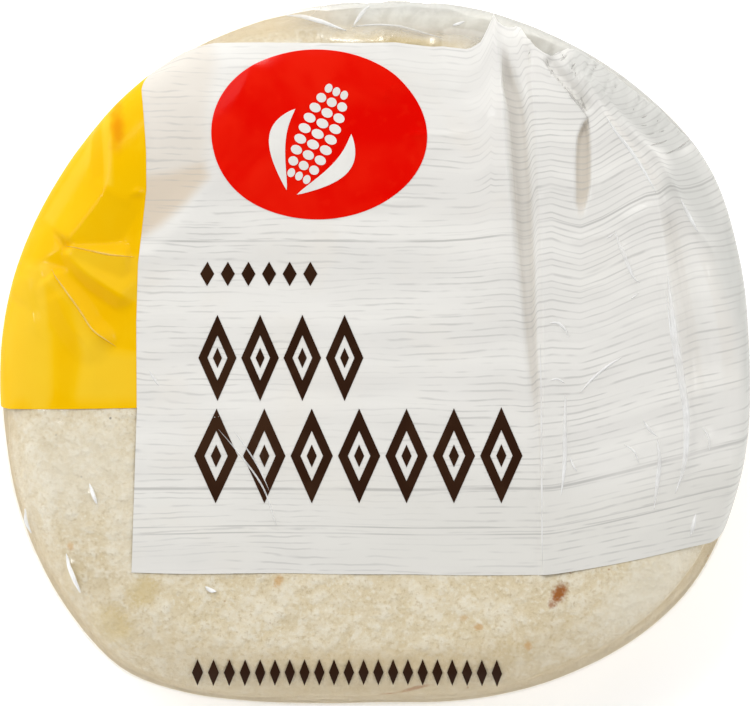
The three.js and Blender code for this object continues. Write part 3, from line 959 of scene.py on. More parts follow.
class Shade:
    """Short calls that build one material's nodes."""

    def __init__(self, name):
        self.material = bpy.data.materials.new(name)
        self.material.use_nodes = True
        self.tree = self.material.node_tree
        self.tree.nodes.clear()
        self.output = add_node(self.tree, "ShaderNodeOutputMaterial")

    def add(self, kind, inputs=None, output=0, **settings):
        return result(self.tree, kind, inputs, output, **settings)

    def math(self, operation, first, second=0.0, third=0.0):
        return self.add("ShaderNodeMath", {0: first, 1: second, 2: third}, operation=operation)

    plus = partialmethod(math, "ADD")
    minus = partialmethod(math, "SUBTRACT")
    times = partialmethod(math, "MULTIPLY")
    scaled = partialmethod(math, "MULTIPLY_ADD")
    most = partialmethod(math, "MAXIMUM")
    size = partialmethod(math, "ABSOLUTE")

    def marked(self, name):
        return self.add("ShaderNodeAttribute", output="Fac", attribute_name=name)

    def band(self, value, low, high, start=0.0, end=1.0):
        inputs = {"Value": value, "From Min": low, "From Max": high, "To Min": start, "To Max": end}
        return self.add("ShaderNodeMapRange", inputs, "Result", interpolation_type="SMOOTHSTEP")

    def object_place(self):
        return self.add("ShaderNodeTexCoord", output="Object")

    def mapped(self, vector, scale, location=(0, 0, 0)):
        return self.add("ShaderNodeMapping", {"Vector": vector, "Scale": scale, "Location": location})

    def noise(self, vector, scale, detail=2.0, roughness=0.5, distortion=0.0, output="Fac"):
        inputs = {"Vector": vector, "Scale": scale, "Detail": detail, "Roughness": roughness}
        return self.add("ShaderNodeTexNoise", {**inputs, "Distortion": distortion}, output)

    def mix(self, factor, first, second):
        node = add_node(self.tree, "ShaderNodeMix", data_type="RGBA")
        for socket, value in ((node.inputs[0], factor), (node.inputs[6], first), (node.inputs[7], second)):
            if isinstance(value, bpy.types.NodeSocket):
                self.tree.links.new(value, socket)
            elif hasattr(value, "__len__"):
                socket.default_value = (*value[:3], 1.0)
            else:
                socket.default_value = value
        return node.outputs[2]

    def bump(self, height, strength, distance):
        inputs = {"Height": height, "Strength": strength, "Distance": distance}
        return self.add("ShaderNodeBump", inputs, "Normal")

    def far_in(self, place, spot):
        """How far out a place lies in a spot's leaning ellipse, 1 on its edge, seen from above."""
        (x, y), (wide, tall), lean = spot
        inputs = {"Location": (x * MM, y * MM, 0), "Rotation": (0, 0, math.radians(lean))}
        inputs.update({"Vector": place, "Scale": (wide * MM, tall * MM, 1)})
        moved = self.add("ShaderNodeMapping", inputs, vector_type="TEXTURE")
        flat = self.add("ShaderNodeVectorMath", {0: moved, 1: (1, 1, 0)}, operation="MULTIPLY")
        return self.add("ShaderNodeVectorMath", {0: flat}, "Value", operation="LENGTH")

    def principled(self, colour, roughness, specular=0.5, **inputs):
        inputs = {name.replace("_", " "): value for name, value in inputs.items()}
        inputs.update({"Base Color": colour, "Roughness": roughness, "Specular IOR Level": specular})
        return self.add("ShaderNodeBsdfPrincipled", inputs)

    def blend(self, share, first, second):
        return self.add("ShaderNodeMixShader", {0: share, 1: first, 2: second})

    def finish(self, shader):
        self.tree.links.new(shader, self.output.inputs["Surface"])
        return self.material


# Toasted spots of the top tortilla: place, size across and along, lean in degrees, strength, tone.
TOASTED_SPOTS = (
    ((39.2, -51.2), (1.5, 2.5), -32, 1.0, 0),
    ((37.6, -53.6), (0.8, 0.9), 0, 0.75, 0),
    ((22.1, -58.4), (1.0, 0.8), 20, 0.6, 1),
    ((32.7, -62.5), (0.8, 1.0), 0, 0.65, 1),
    ((-20.6, -48.6), (0.9, 1.5), -30, 0.6, 1),
    ((19.0, -56.5), (1.1, 0.7), 10, 0.35, 1),
    ((-65.0, -41.3), (0.8, 0.9), 0, 0.5, 1),
    ((8.4, -71.6), (3.4, 0.45), 14, 0.6, 0),
    ((2.0, -73.1), (2.6, 0.4), 10, 0.5, 0),
    ((-56.4, -13.9), (0.28, 0.28), 0, 0.9, 2),
    ((-60.7, -60.5), (0.3, 0.3), 0, 0.9, 2),
    ((-62.6, -26.4), (0.2, 0.2), 0, 0.7, 2),
    ((-68.0, -17.5), (0.2, 0.2), 0, 0.6, 2),
    ((-49.5, -50.5), (3.2, 4.2), -30, 0.7, 3),
    ((-55.5, -58.0), (5.0, 3.6), -40, 0.7, 3),
    ((-62.0, -24.0), (15.0, 11.0), 20, 0.5, 4),
    ((-53.5, -37.0), (4.0, 12.0), 0, 0.4, 4),
    ((-64.0, -48.0), (2.0, 3.0), 0, 0.25, 3),
    ((58.5, -49.5), (16.0, 6.0), 40, 0.65, 4),
    ((66.9, -47.5), (3.2, 0.6), 50, 0.6, 3),
    ((5.5, 66.7), (12.0, 0.9), -4, 0.85, 3),
    ((1.5, 69.6), (8.0, 0.6), 0, 0.6, 3),
)


def bent(shade, place):
    """A place shifted a little by chance, which takes the straight edges off a cell pattern."""
    chance = shade.noise(place, 420.0, output="Color")
    inputs = {0: chance, 1: (0.0022, 0.0022, 0.0), 2: (-0.0011, -0.0011, 0.0)}
    shift = shade.add("ShaderNodeVectorMath", inputs, operation="MULTIPLY_ADD")
    return shade.add("ShaderNodeVectorMath", {0: place, 1: shift}, operation="ADD")


def tortilla_material(colours, spots):
    """Baked white corn dough: mottled cream with pits, specks and toasted spots, and painted shade darker to
    its rim.
    """
    shade = Shade("Tortilla_top" if spots else "Tortilla_edge")
    rim = shade.marked("rim")
    place = shade.object_place()

    def noise(scale, detail=2.0, roughness=0.5, shift=0.0, distortion=0.0):
        moved = shade.mapped(place, (1, 1, 1), (shift, 2 * shift, 0))
        return shade.noise(moved, scale, detail, roughness, distortion)

    patch = noise(60, 2, 0.5, 0.31)
    golden = noise(42, 2, 0.5, 0.93)
    blotch = noise(170, 2, 0.5, 0.17, 0.6)
    pebble = noise(560, 2, 0.5, 0.23)
    grain = noise(1250, 2, 0.6, 0.41)
    lumps = {"Vector": bent(shade, place), "Scale": 330.0, "Smoothness": 0.6}
    lump = shade.add("ShaderNodeTexVoronoi", lumps, "Distance", feature="SMOOTH_F1")
    speck = shade.add("ShaderNodeTexVoronoi", {"Vector": place, "Scale": 240.0}, "Distance")
    few = shade.band(noise(700, 1, 0.5, 0.77), 0.6, 0.68)

    colour = shade.mix(shade.band(patch, 0.3, 0.7, 0.1, 0.6), colours.cream, colours.tan)
    for pattern, low, high, most, tint in (
        (golden, 0.5, 0.8, 0.5, colours.gold),
        (blotch, 0.35, 0.75, 0.55, colours.pale),
        (lump, 0.5, 0.1, 0.5, colours.pale),
        (lump, 0.42, 0.75, 0.5, colours.tan),
        (pebble, 0.52, 0.7, 0.6, colours.pale),
        (pebble, 0.47, 0.28, 0.6, colours.tan),
    ):
        colour = shade.mix(shade.band(pattern, low, high, 0.0, most), colour, tint)
    lines = shade.band(shade.size(shade.minus(pebble, 0.47)), 0.015, 0.0, 0.0, 0.22)
    lines = shade.times(lines, shade.band(blotch, 0.6, 0.45))
    colour = shade.mix(lines, colour, colours.crack)
    colour = shade.mix(shade.band(grain, 0.53, 0.72, 0.0, 0.55), colour, colours.crack)
    colour = shade.mix(shade.band(grain, 0.46, 0.3, 0.0, 0.6), colour, colours.pale)
    # Painted shade: darker towards the rim, and on the whole stack's sides.
    colour = shade.mix(shade.times(rim, 0.7), colour, colours.rim)
    dots = shade.times(shade.band(speck, 0.12, 0.04), few)
    colour = shade.mix(shade.times(dots, 0.55), colour, colours.toast)

    if spots:
        ragged = shade.noise(place, 1500, 3, 0.65)
        offset = shade.scaled(ragged, 1.5, -0.75)
        tones = (colours.toast, colours.amber, colours.speck, colours.gold, colours.pale)
        for *spot, strength, tone in TOASTED_SPOTS:
            inside = shade.band(shade.plus(shade.far_in(place, spot), offset), 1.35, 0.35, 0.0, strength)
            colour = shade.mix(inside, colour, tones[tone])

    height = shade.plus(pebble, shade.times(grain, 0.35))
    height = shade.plus(height, shade.band(lump, 0.8, 0.1, 0.0, 0.8))
    height = shade.minus(height, shade.times(lines, 0.4))
    return shade.finish(shade.principled(colour, 0.82, 0.25, Normal=shade.bump(height, 0.8, 0.0004)))


def film_material(settings):
    """Clear film: it lets most light through, hazes it a little and mirrors the lights. Its gathered haze
    takes painted shade on the right and at the rim.
    """
    shade = Shade("Clear_film")
    layers = shade.marked("layers")
    clear = shade.add("ShaderNodeBsdfTransparent", {"Color": (0.985, 0.985, 0.975, 1)})
    # Painted shade: the gathered haze is darker on the right and at the rim.
    painted_haze_shade = shade.marked("painted_haze_shade")
    gathered = shade.mix(painted_haze_shade, settings.gathered_milk, settings.gathered_shade)
    milk = shade.mix(layers, settings.milk, gathered)
    haze = shade.add("ShaderNodeBsdfDiffuse", {"Color": milk})
    place = shade.object_place()
    cloud = shade.noise(place, 60, 3, 0.6, 0.5)
    amount = shade.plus(shade.band(cloud, 0.45, 0.75, 0.0, settings.haze), settings.haze)
    streak = shade.noise(shade.mapped(place, (1, 1, 0.1)), 260, 3, 0.55, 0.4)
    streaked = shade.times(layers, shade.band(streak, 0.3, 0.7, 0.82, 1.12))
    amount = shade.plus(amount, shade.times(streaked, settings.gathered_haze))
    inputs = {"Color": (0.86, 0.86, 0.85, 1), "Roughness": settings.roughness}
    gloss = shade.add("ShaderNodeBsdfAnisotropic", inputs)
    facing = shade.add("ShaderNodeLayerWeight", {"Blend": 0.5}, "Facing")
    share = shade.scaled(shade.math("POWER", facing, 6.0), 0.2, settings.mirror)
    return shade.finish(shade.blend(share, shade.blend(amount, clear, haze), gloss))


def painted_highlight_material():
    """Painted highlights: film ribbons on sharp creases, near-white and stronger over the bare tortilla, so
    that they show as bright lines of reflected light; a little clearer in places, and tinted where they lie
    on the yellow.
    """
    shade = Shade("Painted_crease_highlights")
    cloud = shade.noise(shade.object_place(), 170, 2, 0.5)
    yellow = shade.marked("over_yellow")
    colour = shade.mix(yellow, (0.97, 0.97, 0.96), (0.95, 0.68, 0.16))
    clear = shade.add("ShaderNodeBsdfTransparent")
    white = shade.principled(colour, 0.3)
    bare = shade.marked("over_bare")
    amount = shade.plus(shade.band(cloud, 0.3, 0.7, 0.4, 0.8), shade.times(bare, 0.3))
    return shade.finish(shade.blend(amount, clear, white))


def painted_lap_shadow_material():
    """Painted shadow: a thin dark strip under a lapped edge of film."""
    shade = Shade("Painted_lap_shadow")
    cloud = shade.noise(shade.object_place(), 400, 2, 0.5)
    clear = shade.add("ShaderNodeBsdfTransparent")
    dark = shade.add("ShaderNodeBsdfDiffuse", {"Color": (0.54, 0.525, 0.495, 1)})
    amount = shade.band(cloud, 0.3, 0.7, 0.2, 0.45)
    return shade.finish(shade.blend(amount, clear, dark))


def inked(shade, colour):
    """The material of ink on the film: the film's gloss lies over it as a coat."""
    return shade.finish(shade.principled(colour, 0.6, 0.0, Coat_Weight=0.16, Coat_Roughness=0.12))


# A small patch along a fold where the yellow is deeper: its place, half its width and height, and its lean.
DEEP_SPOT = ((-55.0, 48.0), (2.3, 8.0), 0.0)


def yellow_ink(settings):
    """Yellow ink, with painted light and shade that make the film's facets lighter and deeper, and deepest in
    a small patch along a fold.
    """
    shade = Shade("Print_yellow")
    place = shade.object_place()
    cloud = shade.noise(place, 55, 3, 0.55, 0.5)
    grain = shade.noise(shade.mapped(place, (1, 0.3, 1)), 500, 2, 0.5)
    facet_light_and_shade = shade.marked("tone")
    tone = shade.mix(shade.band(cloud, 0.4, 0.7, 0.0, 0.5), settings.yellow, settings.yellow_worn)
    tone = shade.mix(shade.band(grain, 0.55, 0.75, 0.0, 0.3), tone, settings.yellow_worn)
    # Painted light and shade of the facets.
    tone = shade.mix(shade.most(facet_light_and_shade, 0.0), tone, settings.yellow_light)
    tone = shade.mix(shade.most(shade.times(facet_light_and_shade, -1.0), 0.0), tone, settings.yellow_dark)
    ragged = shade.scaled(shade.noise(place, 300, 2, 0.5), 0.8, -0.4)
    deep = shade.band(shade.plus(shade.far_in(place, DEEP_SPOT), ragged), 1.0, 0.1)
    tone = shade.mix(deep, tone, settings.yellow_deep)
    return inked(shade, tone)


def plain_ink(name, colour, worn):
    """One flat ink with faint clouds, where the film lies on the uneven tortilla or lifts off it."""
    shade = Shade(name)
    place = shade.object_place()
    cloud = shade.noise(place, 55, 3, 0.55, 0.5)
    fine = shade.noise(place, 420, 2, 0.5)
    tone = shade.mix(shade.band(cloud, 0.4, 0.7), colour, worn)
    tone = shade.mix(shade.band(fine, 0.55, 0.75, 0.0, 0.4), tone, worn)
    return inked(shade, tone)


def wood_ink(colours):
    """White boards with thin grey grain lines along them, their seams, faint warm clouds, and painted shade
    in folds, on facets and towards their lower right.

    The grain runs nearly unbroken over the folds, and in shorter strokes elsewhere.
    """
    shade = Shade("Print_white_boards")
    uv = shade.add("ShaderNodeUVMap", uv_map="print")
    split = add_node(shade.tree, "ShaderNodeSeparateXYZ", {0: uv})
    across, along = (shade.times(split.outputs[axis], UV_SPAN) for axis in (0, 1))

    def stretched(wide, tall, shift, detail=2.0):
        vector = shade.mapped(uv, (UV_SPAN / wide, UV_SPAN / tall, 1), (shift, 2 * shift, 0))
        return shade.noise(vector, 1.0, detail, 0.5)

    sway = shade.scaled(stretched(42, 16, 3.1, 1.0), 4.0, -2.0)
    wander = shade.scaled(stretched(9, 4, 7.7, 2.0), 1.5, -0.75)
    calm = shade.band(across, 0.0, 24.0, 1.0, 0.4)
    sway, wander = shade.times(sway, calm), shade.times(wander, calm)
    uneven = shade.scaled(stretched(70, 3.2, 4.4, 1.0), 1.6, -0.8)
    level = shade.plus(along, shade.plus(shade.plus(sway, wander), uneven))

    def grain(spacing, width, shift, length, least, most):
        """Broken lines: one every spacing, each as strong along it as its own noise says."""
        scaled = shade.scaled(level, 1 / spacing, shift)
        part = shade.minus(shade.math("FRACT", scaled), 0.5)
        gap = shade.times(shade.size(part), spacing)
        number = shade.math("FLOOR", scaled)
        row = {0: shade.times(across, 1 / length), 1: shade.times(number, 3.7), 2: shift}
        strength = shade.band(shade.noise(shade.add("ShaderNodeCombineXYZ", row), 1.0), least, most)
        return shade.times(shade.band(gap, width, 0.0), strength)

    fine = grain(*FINE_GRAIN, 0.31, 6.5, 0.36, 0.62)
    steady = grain(*STEADY_GRAIN, 0.31, 9.0, 0.12, 0.5)
    bold = grain(*BOLD_GRAIN, 5.83, 13.0, 0.56, 0.74)
    seams = None
    for seam, width in SEAMS:
        offset = shade.plus(along, shade.times(sway, 0.45))
        gap = shade.size(shade.minus(offset, seam))
        line = shade.band(gap, width, 0.2 * width)
        seams = line if seams is None else shade.most(seams, line)
    broken = shade.band(stretched(16, 2, 1.3), 0.32, 0.58, 0.3, 1.0)
    seams = shade.times(seams, broken)

    board = shade.mix(shade.band(stretched(60, 9, 5.2), 0.35, 0.65), colours.board, colours.board_dark)
    streak = shade.band(stretched(24, 0.9, 2.4, 3.0), 0.5, 0.8, 0.0, 0.5)
    board = shade.mix(streak, board, colours.board_dark)
    cloud = shade.band(shade.noise(shade.object_place(), 42, 3, 0.55, 0.4), 0.48, 0.72, 0.0, 0.5)
    cloud = shade.times(cloud, shade.band(across, 22.0, 36.0, 1.0, 0.2))
    board = shade.mix(cloud, board, colours.board_warm)
    zone = shade.band(stretched(46, 24, 8.6, 1.0), 0.36, 0.58, 0.3, 1.0)
    folds = shade.times(shade.band(along, -6.0, 12.0), shade.band(across, 20.0, 34.0))
    corner = shade.times(shade.band(along, 22.0, 30.0, 0.0, 0.9), shade.band(across, -32.0, -40.0))
    zone = shade.most(zone, shade.most(folds, corner))
    fine = shade.times(fine, shade.times(shade.band(across, -10.0, 32.0, 0.46, 0.54), zone))
    fine = shade.most(fine, shade.times(steady, shade.times(folds, 0.34)))
    lines = shade.most(fine, shade.times(bold, 0.3))
    lines = shade.most(lines, shade.times(seams, 0.72))
    # Painted shade in the folds, partly the tortilla's colour showing through the pressed ink.
    fold = shade.marked("fold")
    board = shade.mix(fold, board, colours.board_fold_shade)
    # Painted shade of the facets, grey or tan, where they turn from the light.
    facet_light_and_shade = shade.marked("tone")
    board = shade.mix(shade.times(facet_light_and_shade, -1.0), board, colours.board_shade)
    board = shade.mix(facet_light_and_shade, board, colours.board_tan_shade)
    # Painted shade: the boards darker towards their lower right, less so in a brighter patch there.
    low = shade.times(shade.band(along, -7.0, -38.0), shade.band(across, -50.0, 30.0, 0.45, 0.85))
    bright = shade.times(shade.band(across, 34.0, 50.0, 0.0, 0.9), shade.band(along, -36.0, -27.0))
    low = shade.times(low, shade.minus(1.0, bright))
    board = shade.mix(low, board, colours.board_low_shade)
    colour = shade.mix(lines, board, colours.grain)
    return inked(shade, colour)


def floor_material(colour, glow):
    """White paper on a light table, so that the pack's sides are lit from below as well."""
    shade = Shade("Floor_paper")
    soft = shade.noise(shade.object_place(), 6, 2, 0.5)
    tone = shade.mix(shade.band(soft, 0.3, 0.7, 0.0, 1.0), colour, [0.985 * c for c in colour[:3]])
    return shade.finish(shade.principled(tone, 0.9, 0.1, Emission_Color=(1, 1, 1, 1), Emission_Strength=glow))


# ---------------------------------------------------------------- geometry nodes


def new_tree(name, inputs):
    """A geometry tree with named inputs after its geometry, and a geometry output."""
    tree = bpy.data.node_groups.new(name, "GeometryNodeTree")
    tree.interface.new_socket("Geometry", in_out="INPUT", socket_type="NodeSocketGeometry")
    for label, kind in inputs:
        tree.interface.new_socket(label, in_out="INPUT", socket_type=kind)
    tree.interface.new_socket("Geometry", in_out="OUTPUT", socket_type="NodeSocketGeometry")
    return tree


def run_tree(source, tree, values, name):
    """Runs a tree on a source object and returns its result as a plain mesh object."""
    modifier = source.modifiers.new(tree.name, "NODES")
    modifier.node_group = tree
    for item in tree.interface.items_tree:
        if item.in_out == "INPUT" and item.name in values:
            modifier[item.identifier] = values[item.name]
    shown = source.evaluated_get(bpy.context.evaluated_depsgraph_get())
    mesh = bpy.data.meshes.new_from_object(shown)
    mesh.name = name
    source.modifiers.remove(modifier)
    bpy.data.objects.remove(source)
    return link(name, mesh)


def finish_copies(tree, given, inputs):
    """Ends a tree: copies of its geometry on points, made real and given its material."""
    inputs["Instance"] = given["Geometry"]
    copies = result(tree, "GeometryNodeInstanceOnPoints", inputs)
    real = result(tree, "GeometryNodeRealizeInstances", {"Geometry": copies})
    done = result(tree, "GeometryNodeSetMaterial", {"Geometry": real, "Material": given["Material"]})
    tree.links.new(done, add_node(tree, "NodeGroupOutput").inputs[0])
    return tree


def stack_tree():
    """Copies of a tortilla one pitch above the other, each shifted and turned a little by chance."""
    tree = new_tree(
        "Tortilla stack",
        (("Count", "NodeSocketInt"), ("Pitch", "NodeSocketFloat"), ("Stagger", "NodeSocketFloat"),
         ("Twist", "NodeSocketFloat"), ("Seed", "NodeSocketInt"), ("Material", "NodeSocketMaterial")),
    )
    given = add_node(tree, "NodeGroupInput").outputs
    rise = result(tree, "ShaderNodeCombineXYZ", {2: given["Pitch"]})
    line = result(tree, "GeometryNodeMeshLine", {"Count": given["Count"], "Offset": rise})
    least = result(tree, "ShaderNodeMath", {0: given["Twist"], 1: -1.0}, operation="MULTIPLY")
    turn = result(tree, "FunctionNodeRandomValue", {2: least, 3: given["Twist"], "Seed": given["Seed"]}, 1)
    turned = result(tree, "ShaderNodeCombineXYZ", {2: turn})
    ways = {0: (-1, -1, 0), 1: (1, 1, 0), "Seed": given["Seed"]}
    shift = result(tree, "FunctionNodeRandomValue", ways, data_type="FLOAT_VECTOR")
    moved = result(tree, "ShaderNodeVectorMath", {0: shift, "Scale": given["Stagger"]}, operation="SCALE")
    points = result(tree, "GeometryNodeSetPosition", {"Geometry": line, "Offset": moved})
    return finish_copies(tree, given, {"Points": points, "Rotation": turned})


def row_tree():
    """Copies of a flat motif in a row, centred on the motif's own place."""
    tree = new_tree(
        "Motif row",
        (("Count", "NodeSocketInt"), ("Step", "NodeSocketFloat"), ("Start", "NodeSocketFloat"),
         ("Material", "NodeSocketMaterial")),
    )
    given = add_node(tree, "NodeGroupInput").outputs
    step = result(tree, "ShaderNodeCombineXYZ", {0: given["Step"]})
    start = result(tree, "ShaderNodeCombineXYZ", {0: given["Start"]})
    inputs = {"Count": given["Count"], "Start Location": start, "Offset": step}
    return finish_copies(tree, given, {"Points": result(tree, "GeometryNodeMeshLine", inputs)})


def mesh_points(piece):
    points = np.empty(3 * len(piece.data.vertices))
    piece.data.vertices.foreach_get("co", points)
    return points.reshape(-1, 3) / MM


def set_mesh_points(piece, points):
    piece.data.vertices.foreach_set("co", (points * MM).ravel())
    piece.data.update()


# ---------------------------------------------------------------- tortillas

# Room between the film and the stack's front and back, the top tortilla, and the tortillas' rims.
STACK_GAP = 0.42
TOP_GAP = 0.08
SIDE_GAP = 0.25
# The rims keep clear of the deepest pleat within so many degrees.
GAP_WINDOW = 2.0
TOP_THICKNESS = 1.5
# The top tortilla's edge, ring by ring: how far inside its rim, and how far down.
TOP_EDGE = ((0.4, 0.25), (0.1, 0.7), (0.25, 1.15), (1.2, TOP_THICKNESS))
TOP_CELLS = 150
STACK_COLUMNS = 180
# Share of the reach out to which the top tortilla's rim goes, by direction.
TOP_RIM = (
    (0, 0.978), (30, 0.965), (45, 0.955), (55, 0.962), (64, 0.962), (70, 0.95), (76, 0.925), (82, 0.905),
    (92, 0.935), (112, 0.965), (150, 0.985), (225, 0.985), (255, 0.978), (270, 0.972), (300, 0.97),
    (320, 0.968), (330, 0.968), (360, 0.978),
)


# The direction round which the top tortilla bends down out of the light, and how far round: its rim is
# painted darker there, as shade.
RIM_SHADED = 268.0
RIM_SHADED_SPREAD = 34.0

# A tortilla's edge: shares of its reach, and its thickness there.
RIM_PROFILE = ((0.45, 1.0), (0.93, 1.0), (0.965, 0.95), (0.985, 0.8), (0.996, 0.45), (1.0, 0.0))
# Half a tortilla's thickness as a share of the height it takes in the stack.
HALF_THICKNESS = 0.47


def pleat_depths(spacing=0.5):
    """How far the pleats of the sides reach inside the film's plain form, in each direction."""
    direction = np.arange(0, 360, spacing)
    depth = np.zeros(len(direction))
    for step, share, out in zip(section.step[::4], section.share[::4], section.out[::4]):
        if share > 0.96:
            steps = np.full(len(direction), step)
            travel = section.travel_at_step(direction, steps)
            depth = np.maximum(depth, -out * film_relief(direction, travel, share, steps <= section.widest))
    turns = range(-round(GAP_WINDOW / spacing), round(GAP_WINDOW / spacing) + 1)
    return direction, np.max([np.roll(depth, turn) for turn in turns], axis=0)


PLEAT_DEPTHS = pleat_depths()


def side_gap(direction):
    return SIDE_GAP + np.interp(direction % 360, *PLEAT_DEPTHS, period=360)


def flat_tortilla(columns, pitch, material):
    """One tortilla before it is pressed: a thin disc with a rounded rim, as a share of the reach."""
    direction = np.linspace(0, 360, columns, endpoint=False)
    half = HALF_THICKNESS * pitch
    rings = [*RIM_PROFILE, *[(share, -thick) for share, thick in RIM_PROFILE[-2::-1]]]
    points = [[0, 0, half]]
    for share, thick in rings:
        x, y = placed(direction, share * reach(direction))
        points.extend(np.column_stack([x, y, np.full(columns, thick * half)]))
    points.append([0, 0, -half])
    at = np.arange(1, len(points) - 1).reshape(len(rings), columns)
    faces = [(tip, i, j) for tip, j, i in fan_faces(0, at[0])]
    for upper, lower in zip(at[:-1], at[1:]):
        faces += ring_faces(upper, lower)
    faces += fan_faces(len(points) - 1, at[-1])
    return make_object("flat_tortilla", points, faces, material)


def press_into_bag(points, layers, pitch):
    """Presses a loose stack into the bag's form: it domes with the front and keeps off the film."""
    direction = direction_of(points[:, 0], points[:, 1])
    far = reach(direction)
    share = np.hypot(points[:, 0], points[:, 1]) / far
    level = (points[:, 2] + pitch / 2) / (layers * pitch)
    number = np.floor(np.clip(level, 0, 0.9999) * layers)
    ragged = 0.006 * soft_noise(direction / 9 + 40 + 5.3 * number, number * 3.1, 1.0, SEED)
    ragged += 0.003 * soft_noise(direction / 2.2 + 3.7 * number, number * 1.7, 1.0, SEED + 1)
    narrow = 0.028 * smoothstep(level, 0.8, 1.0) + 0.05 * (1 - smoothstep(level, 0.0, 0.14))
    room = 1 - side_gap(direction) / far
    share = share * (1 - narrow + ragged)
    share = np.where(share > room - 0.01, room - 0.01 * np.exp(-(share - room + 0.01) / 0.01), share)
    x, y = placed(direction, share * far)
    roof = front_height(np.minimum(share, 0.985)) - STACK_GAP + broad_waves(x, y)
    floor = back_height(np.minimum(share, 0.985)) + STACK_GAP + 0.8 * smoothstep(share, 0.4, 0.7)
    wave = 0.25 * soft_noise(direction / 14 + 20, level * 5, 1.0, SEED + 2) * smoothstep(share, 0.5, 1)
    wave *= np.sin(math.pi * level)
    return np.column_stack([x, y, floor + level * (roof - floor) + wave]) - MIDDLE


def top_relief(x, y):
    """Low bumps and blisters of the top tortilla."""
    return sum(
        height * soft_noise(x + shift, y + shift, size, SEED + number)
        for height, shift, size, number in ((0.16, 200, 7.0, 11), (0.09, 90, 3.1, 12), (0.04, 50, 1.5, 13))
    )


# ---------------------------------------------------------------- pinched creases, painted as highlight and shadow lines

# Sharp pinches of the film, whose thin ribbons are painted as highlights, bright lines of reflected light:
# points, and width at the middle.
HIGHLIGHT_PINCHES = (
    # Down the long folds on the right.
    (((48.1, 50), (50.7, 46.4), (53.4, 43.2), (56.6, 38.5), (59, 34)), 0.75),
    (((61.7, 16.5), (62.6, 9.1), (63.7, 1.6), (64.7, -5.4), (65.6, -11.2), (65.8, -16.5), (65.6, -21.9),
      (64.9, -26.1), (63.7, -29.8)), 1.6),
    (((61.3, 13.3), (62.4, 4.8), (63.5, -2), (64.5, -8), (65.2, -13.3)), 0.5),
    (((64.1, 32.5), (66, 28.7), (67.7, 25.5)), 0.7),
    (((35.0, 2), (35.2, -12), (35.3, -30), (35.4, -46)), 0.4),
    # Short ones over the white print.
    (((40.4, -8.4), (40.2, -15.5), (40.2, -21.9), (39.8, -27.2), (39.4, -30.2)), 1.0),
    (((41.3, -21.9), (41.9, -23.6), (42.8, -25.1)), 0.6),
    (((37, 6.5), (38.7, 6.5), (40.2, 5.2), (41.1, 3.5)), 0.7),
    (((37, -5.7), (38.7, -5.4), (40.2, -6.3)), 0.45),
    (((56.8, -14.2), (58.1, -16.1), (59.8, -17.6)), 0.7),
    (((59.8, -18.2), (60.3, -22.9), (59.8, -28.3), (59.2, -33.2)), 1.0),
    (((52.8, -19.3), (54.9, -20.8), (56, -23.4)), 0.4),
    (((69.4, -15.5), (70.5, -17.6), (70.9, -20.6)), 0.5),
    (((68.1, -34), (67.3, -36.8), (66.9, -38.7)), 0.8),
    (((50.8, 26.2), (51.5, 23.6), (52.8, 20.6), (54.5, 16.5), (56, 15)), 0.9),
    (((49, 24.4), (50.7, 25.7)), 0.4),
    (((43.4, -8.4), (46, -5.4), (49.2, -2.7), (52.4, -0.7)), 0.6),
    (((54.1, 11.6), (55.8, 12.9)), 0.4),
    (((-48.3, -3.7), (-47.4, -5.2), (-46.2, -6.9)), 0.6),
    # Over the rows of the print.
    (((-33.6, -16.1), (-28.7, -21.9), (-24, -28.7), (-21.2, -36.8)), 0.5),
    (((-30.2, -16.5), (-25.5, -23.4), (-22.7, -29.3)), 0.45),
    # Over the bare tortilla.
    (((-61.1, -27.6), (-60.3, -29.8), (-59.4, -32.1)), 0.8),
    (((-66, -42.6), (-65.2, -45.3), (-63.9, -48.5), (-63, -50.9)), 1.0),
    (((-75.2, -33.2), (-74.8, -35.7), (-74.1, -38.5)), 0.7),
    (((-36.4, -49.6), (-35.3, -50.4), (-34, -50.7)), 0.9),
    # Over the yellow.
    (((-66, 22.9), (-61.8, 22.1), (-56.4, 21), (-51.3, 20.6)), 0.4),
    (((-68.8, 18), (-66, 13.8), (-62.8, 9.1), (-60.3, 5.2), (-57.1, 2.7), (-55.3, 1.4)), 0.45),
    # At the top, over the rims of the tortillas.
    (((-19.1, 72.2), (-12.7, 70.5), (-6.3, 68.6)), 0.7),
    (((-1.4, 74.0), (-3.1, 72), (-4.8, 69.6)), 0.7),
    (((-5.2, 69.4), (0.1, 69.9), (5.4, 69.4), (10.8, 68.1), (14, 67.1)), 0.35),
    (((16.1, 69.2), (18.7, 69.9)), 0.6),
)
PINCH_SLOPE = 0.16
PINCH_ACROSS = (-1.0, -0.45, 0.0, 0.45, 1.0)
PINCH_HEIGHTS = (0.0, 0.75, 1.0, 0.75, 0.0)
PINCH_FOOT = -0.12
PINCH_BASE = 0.11

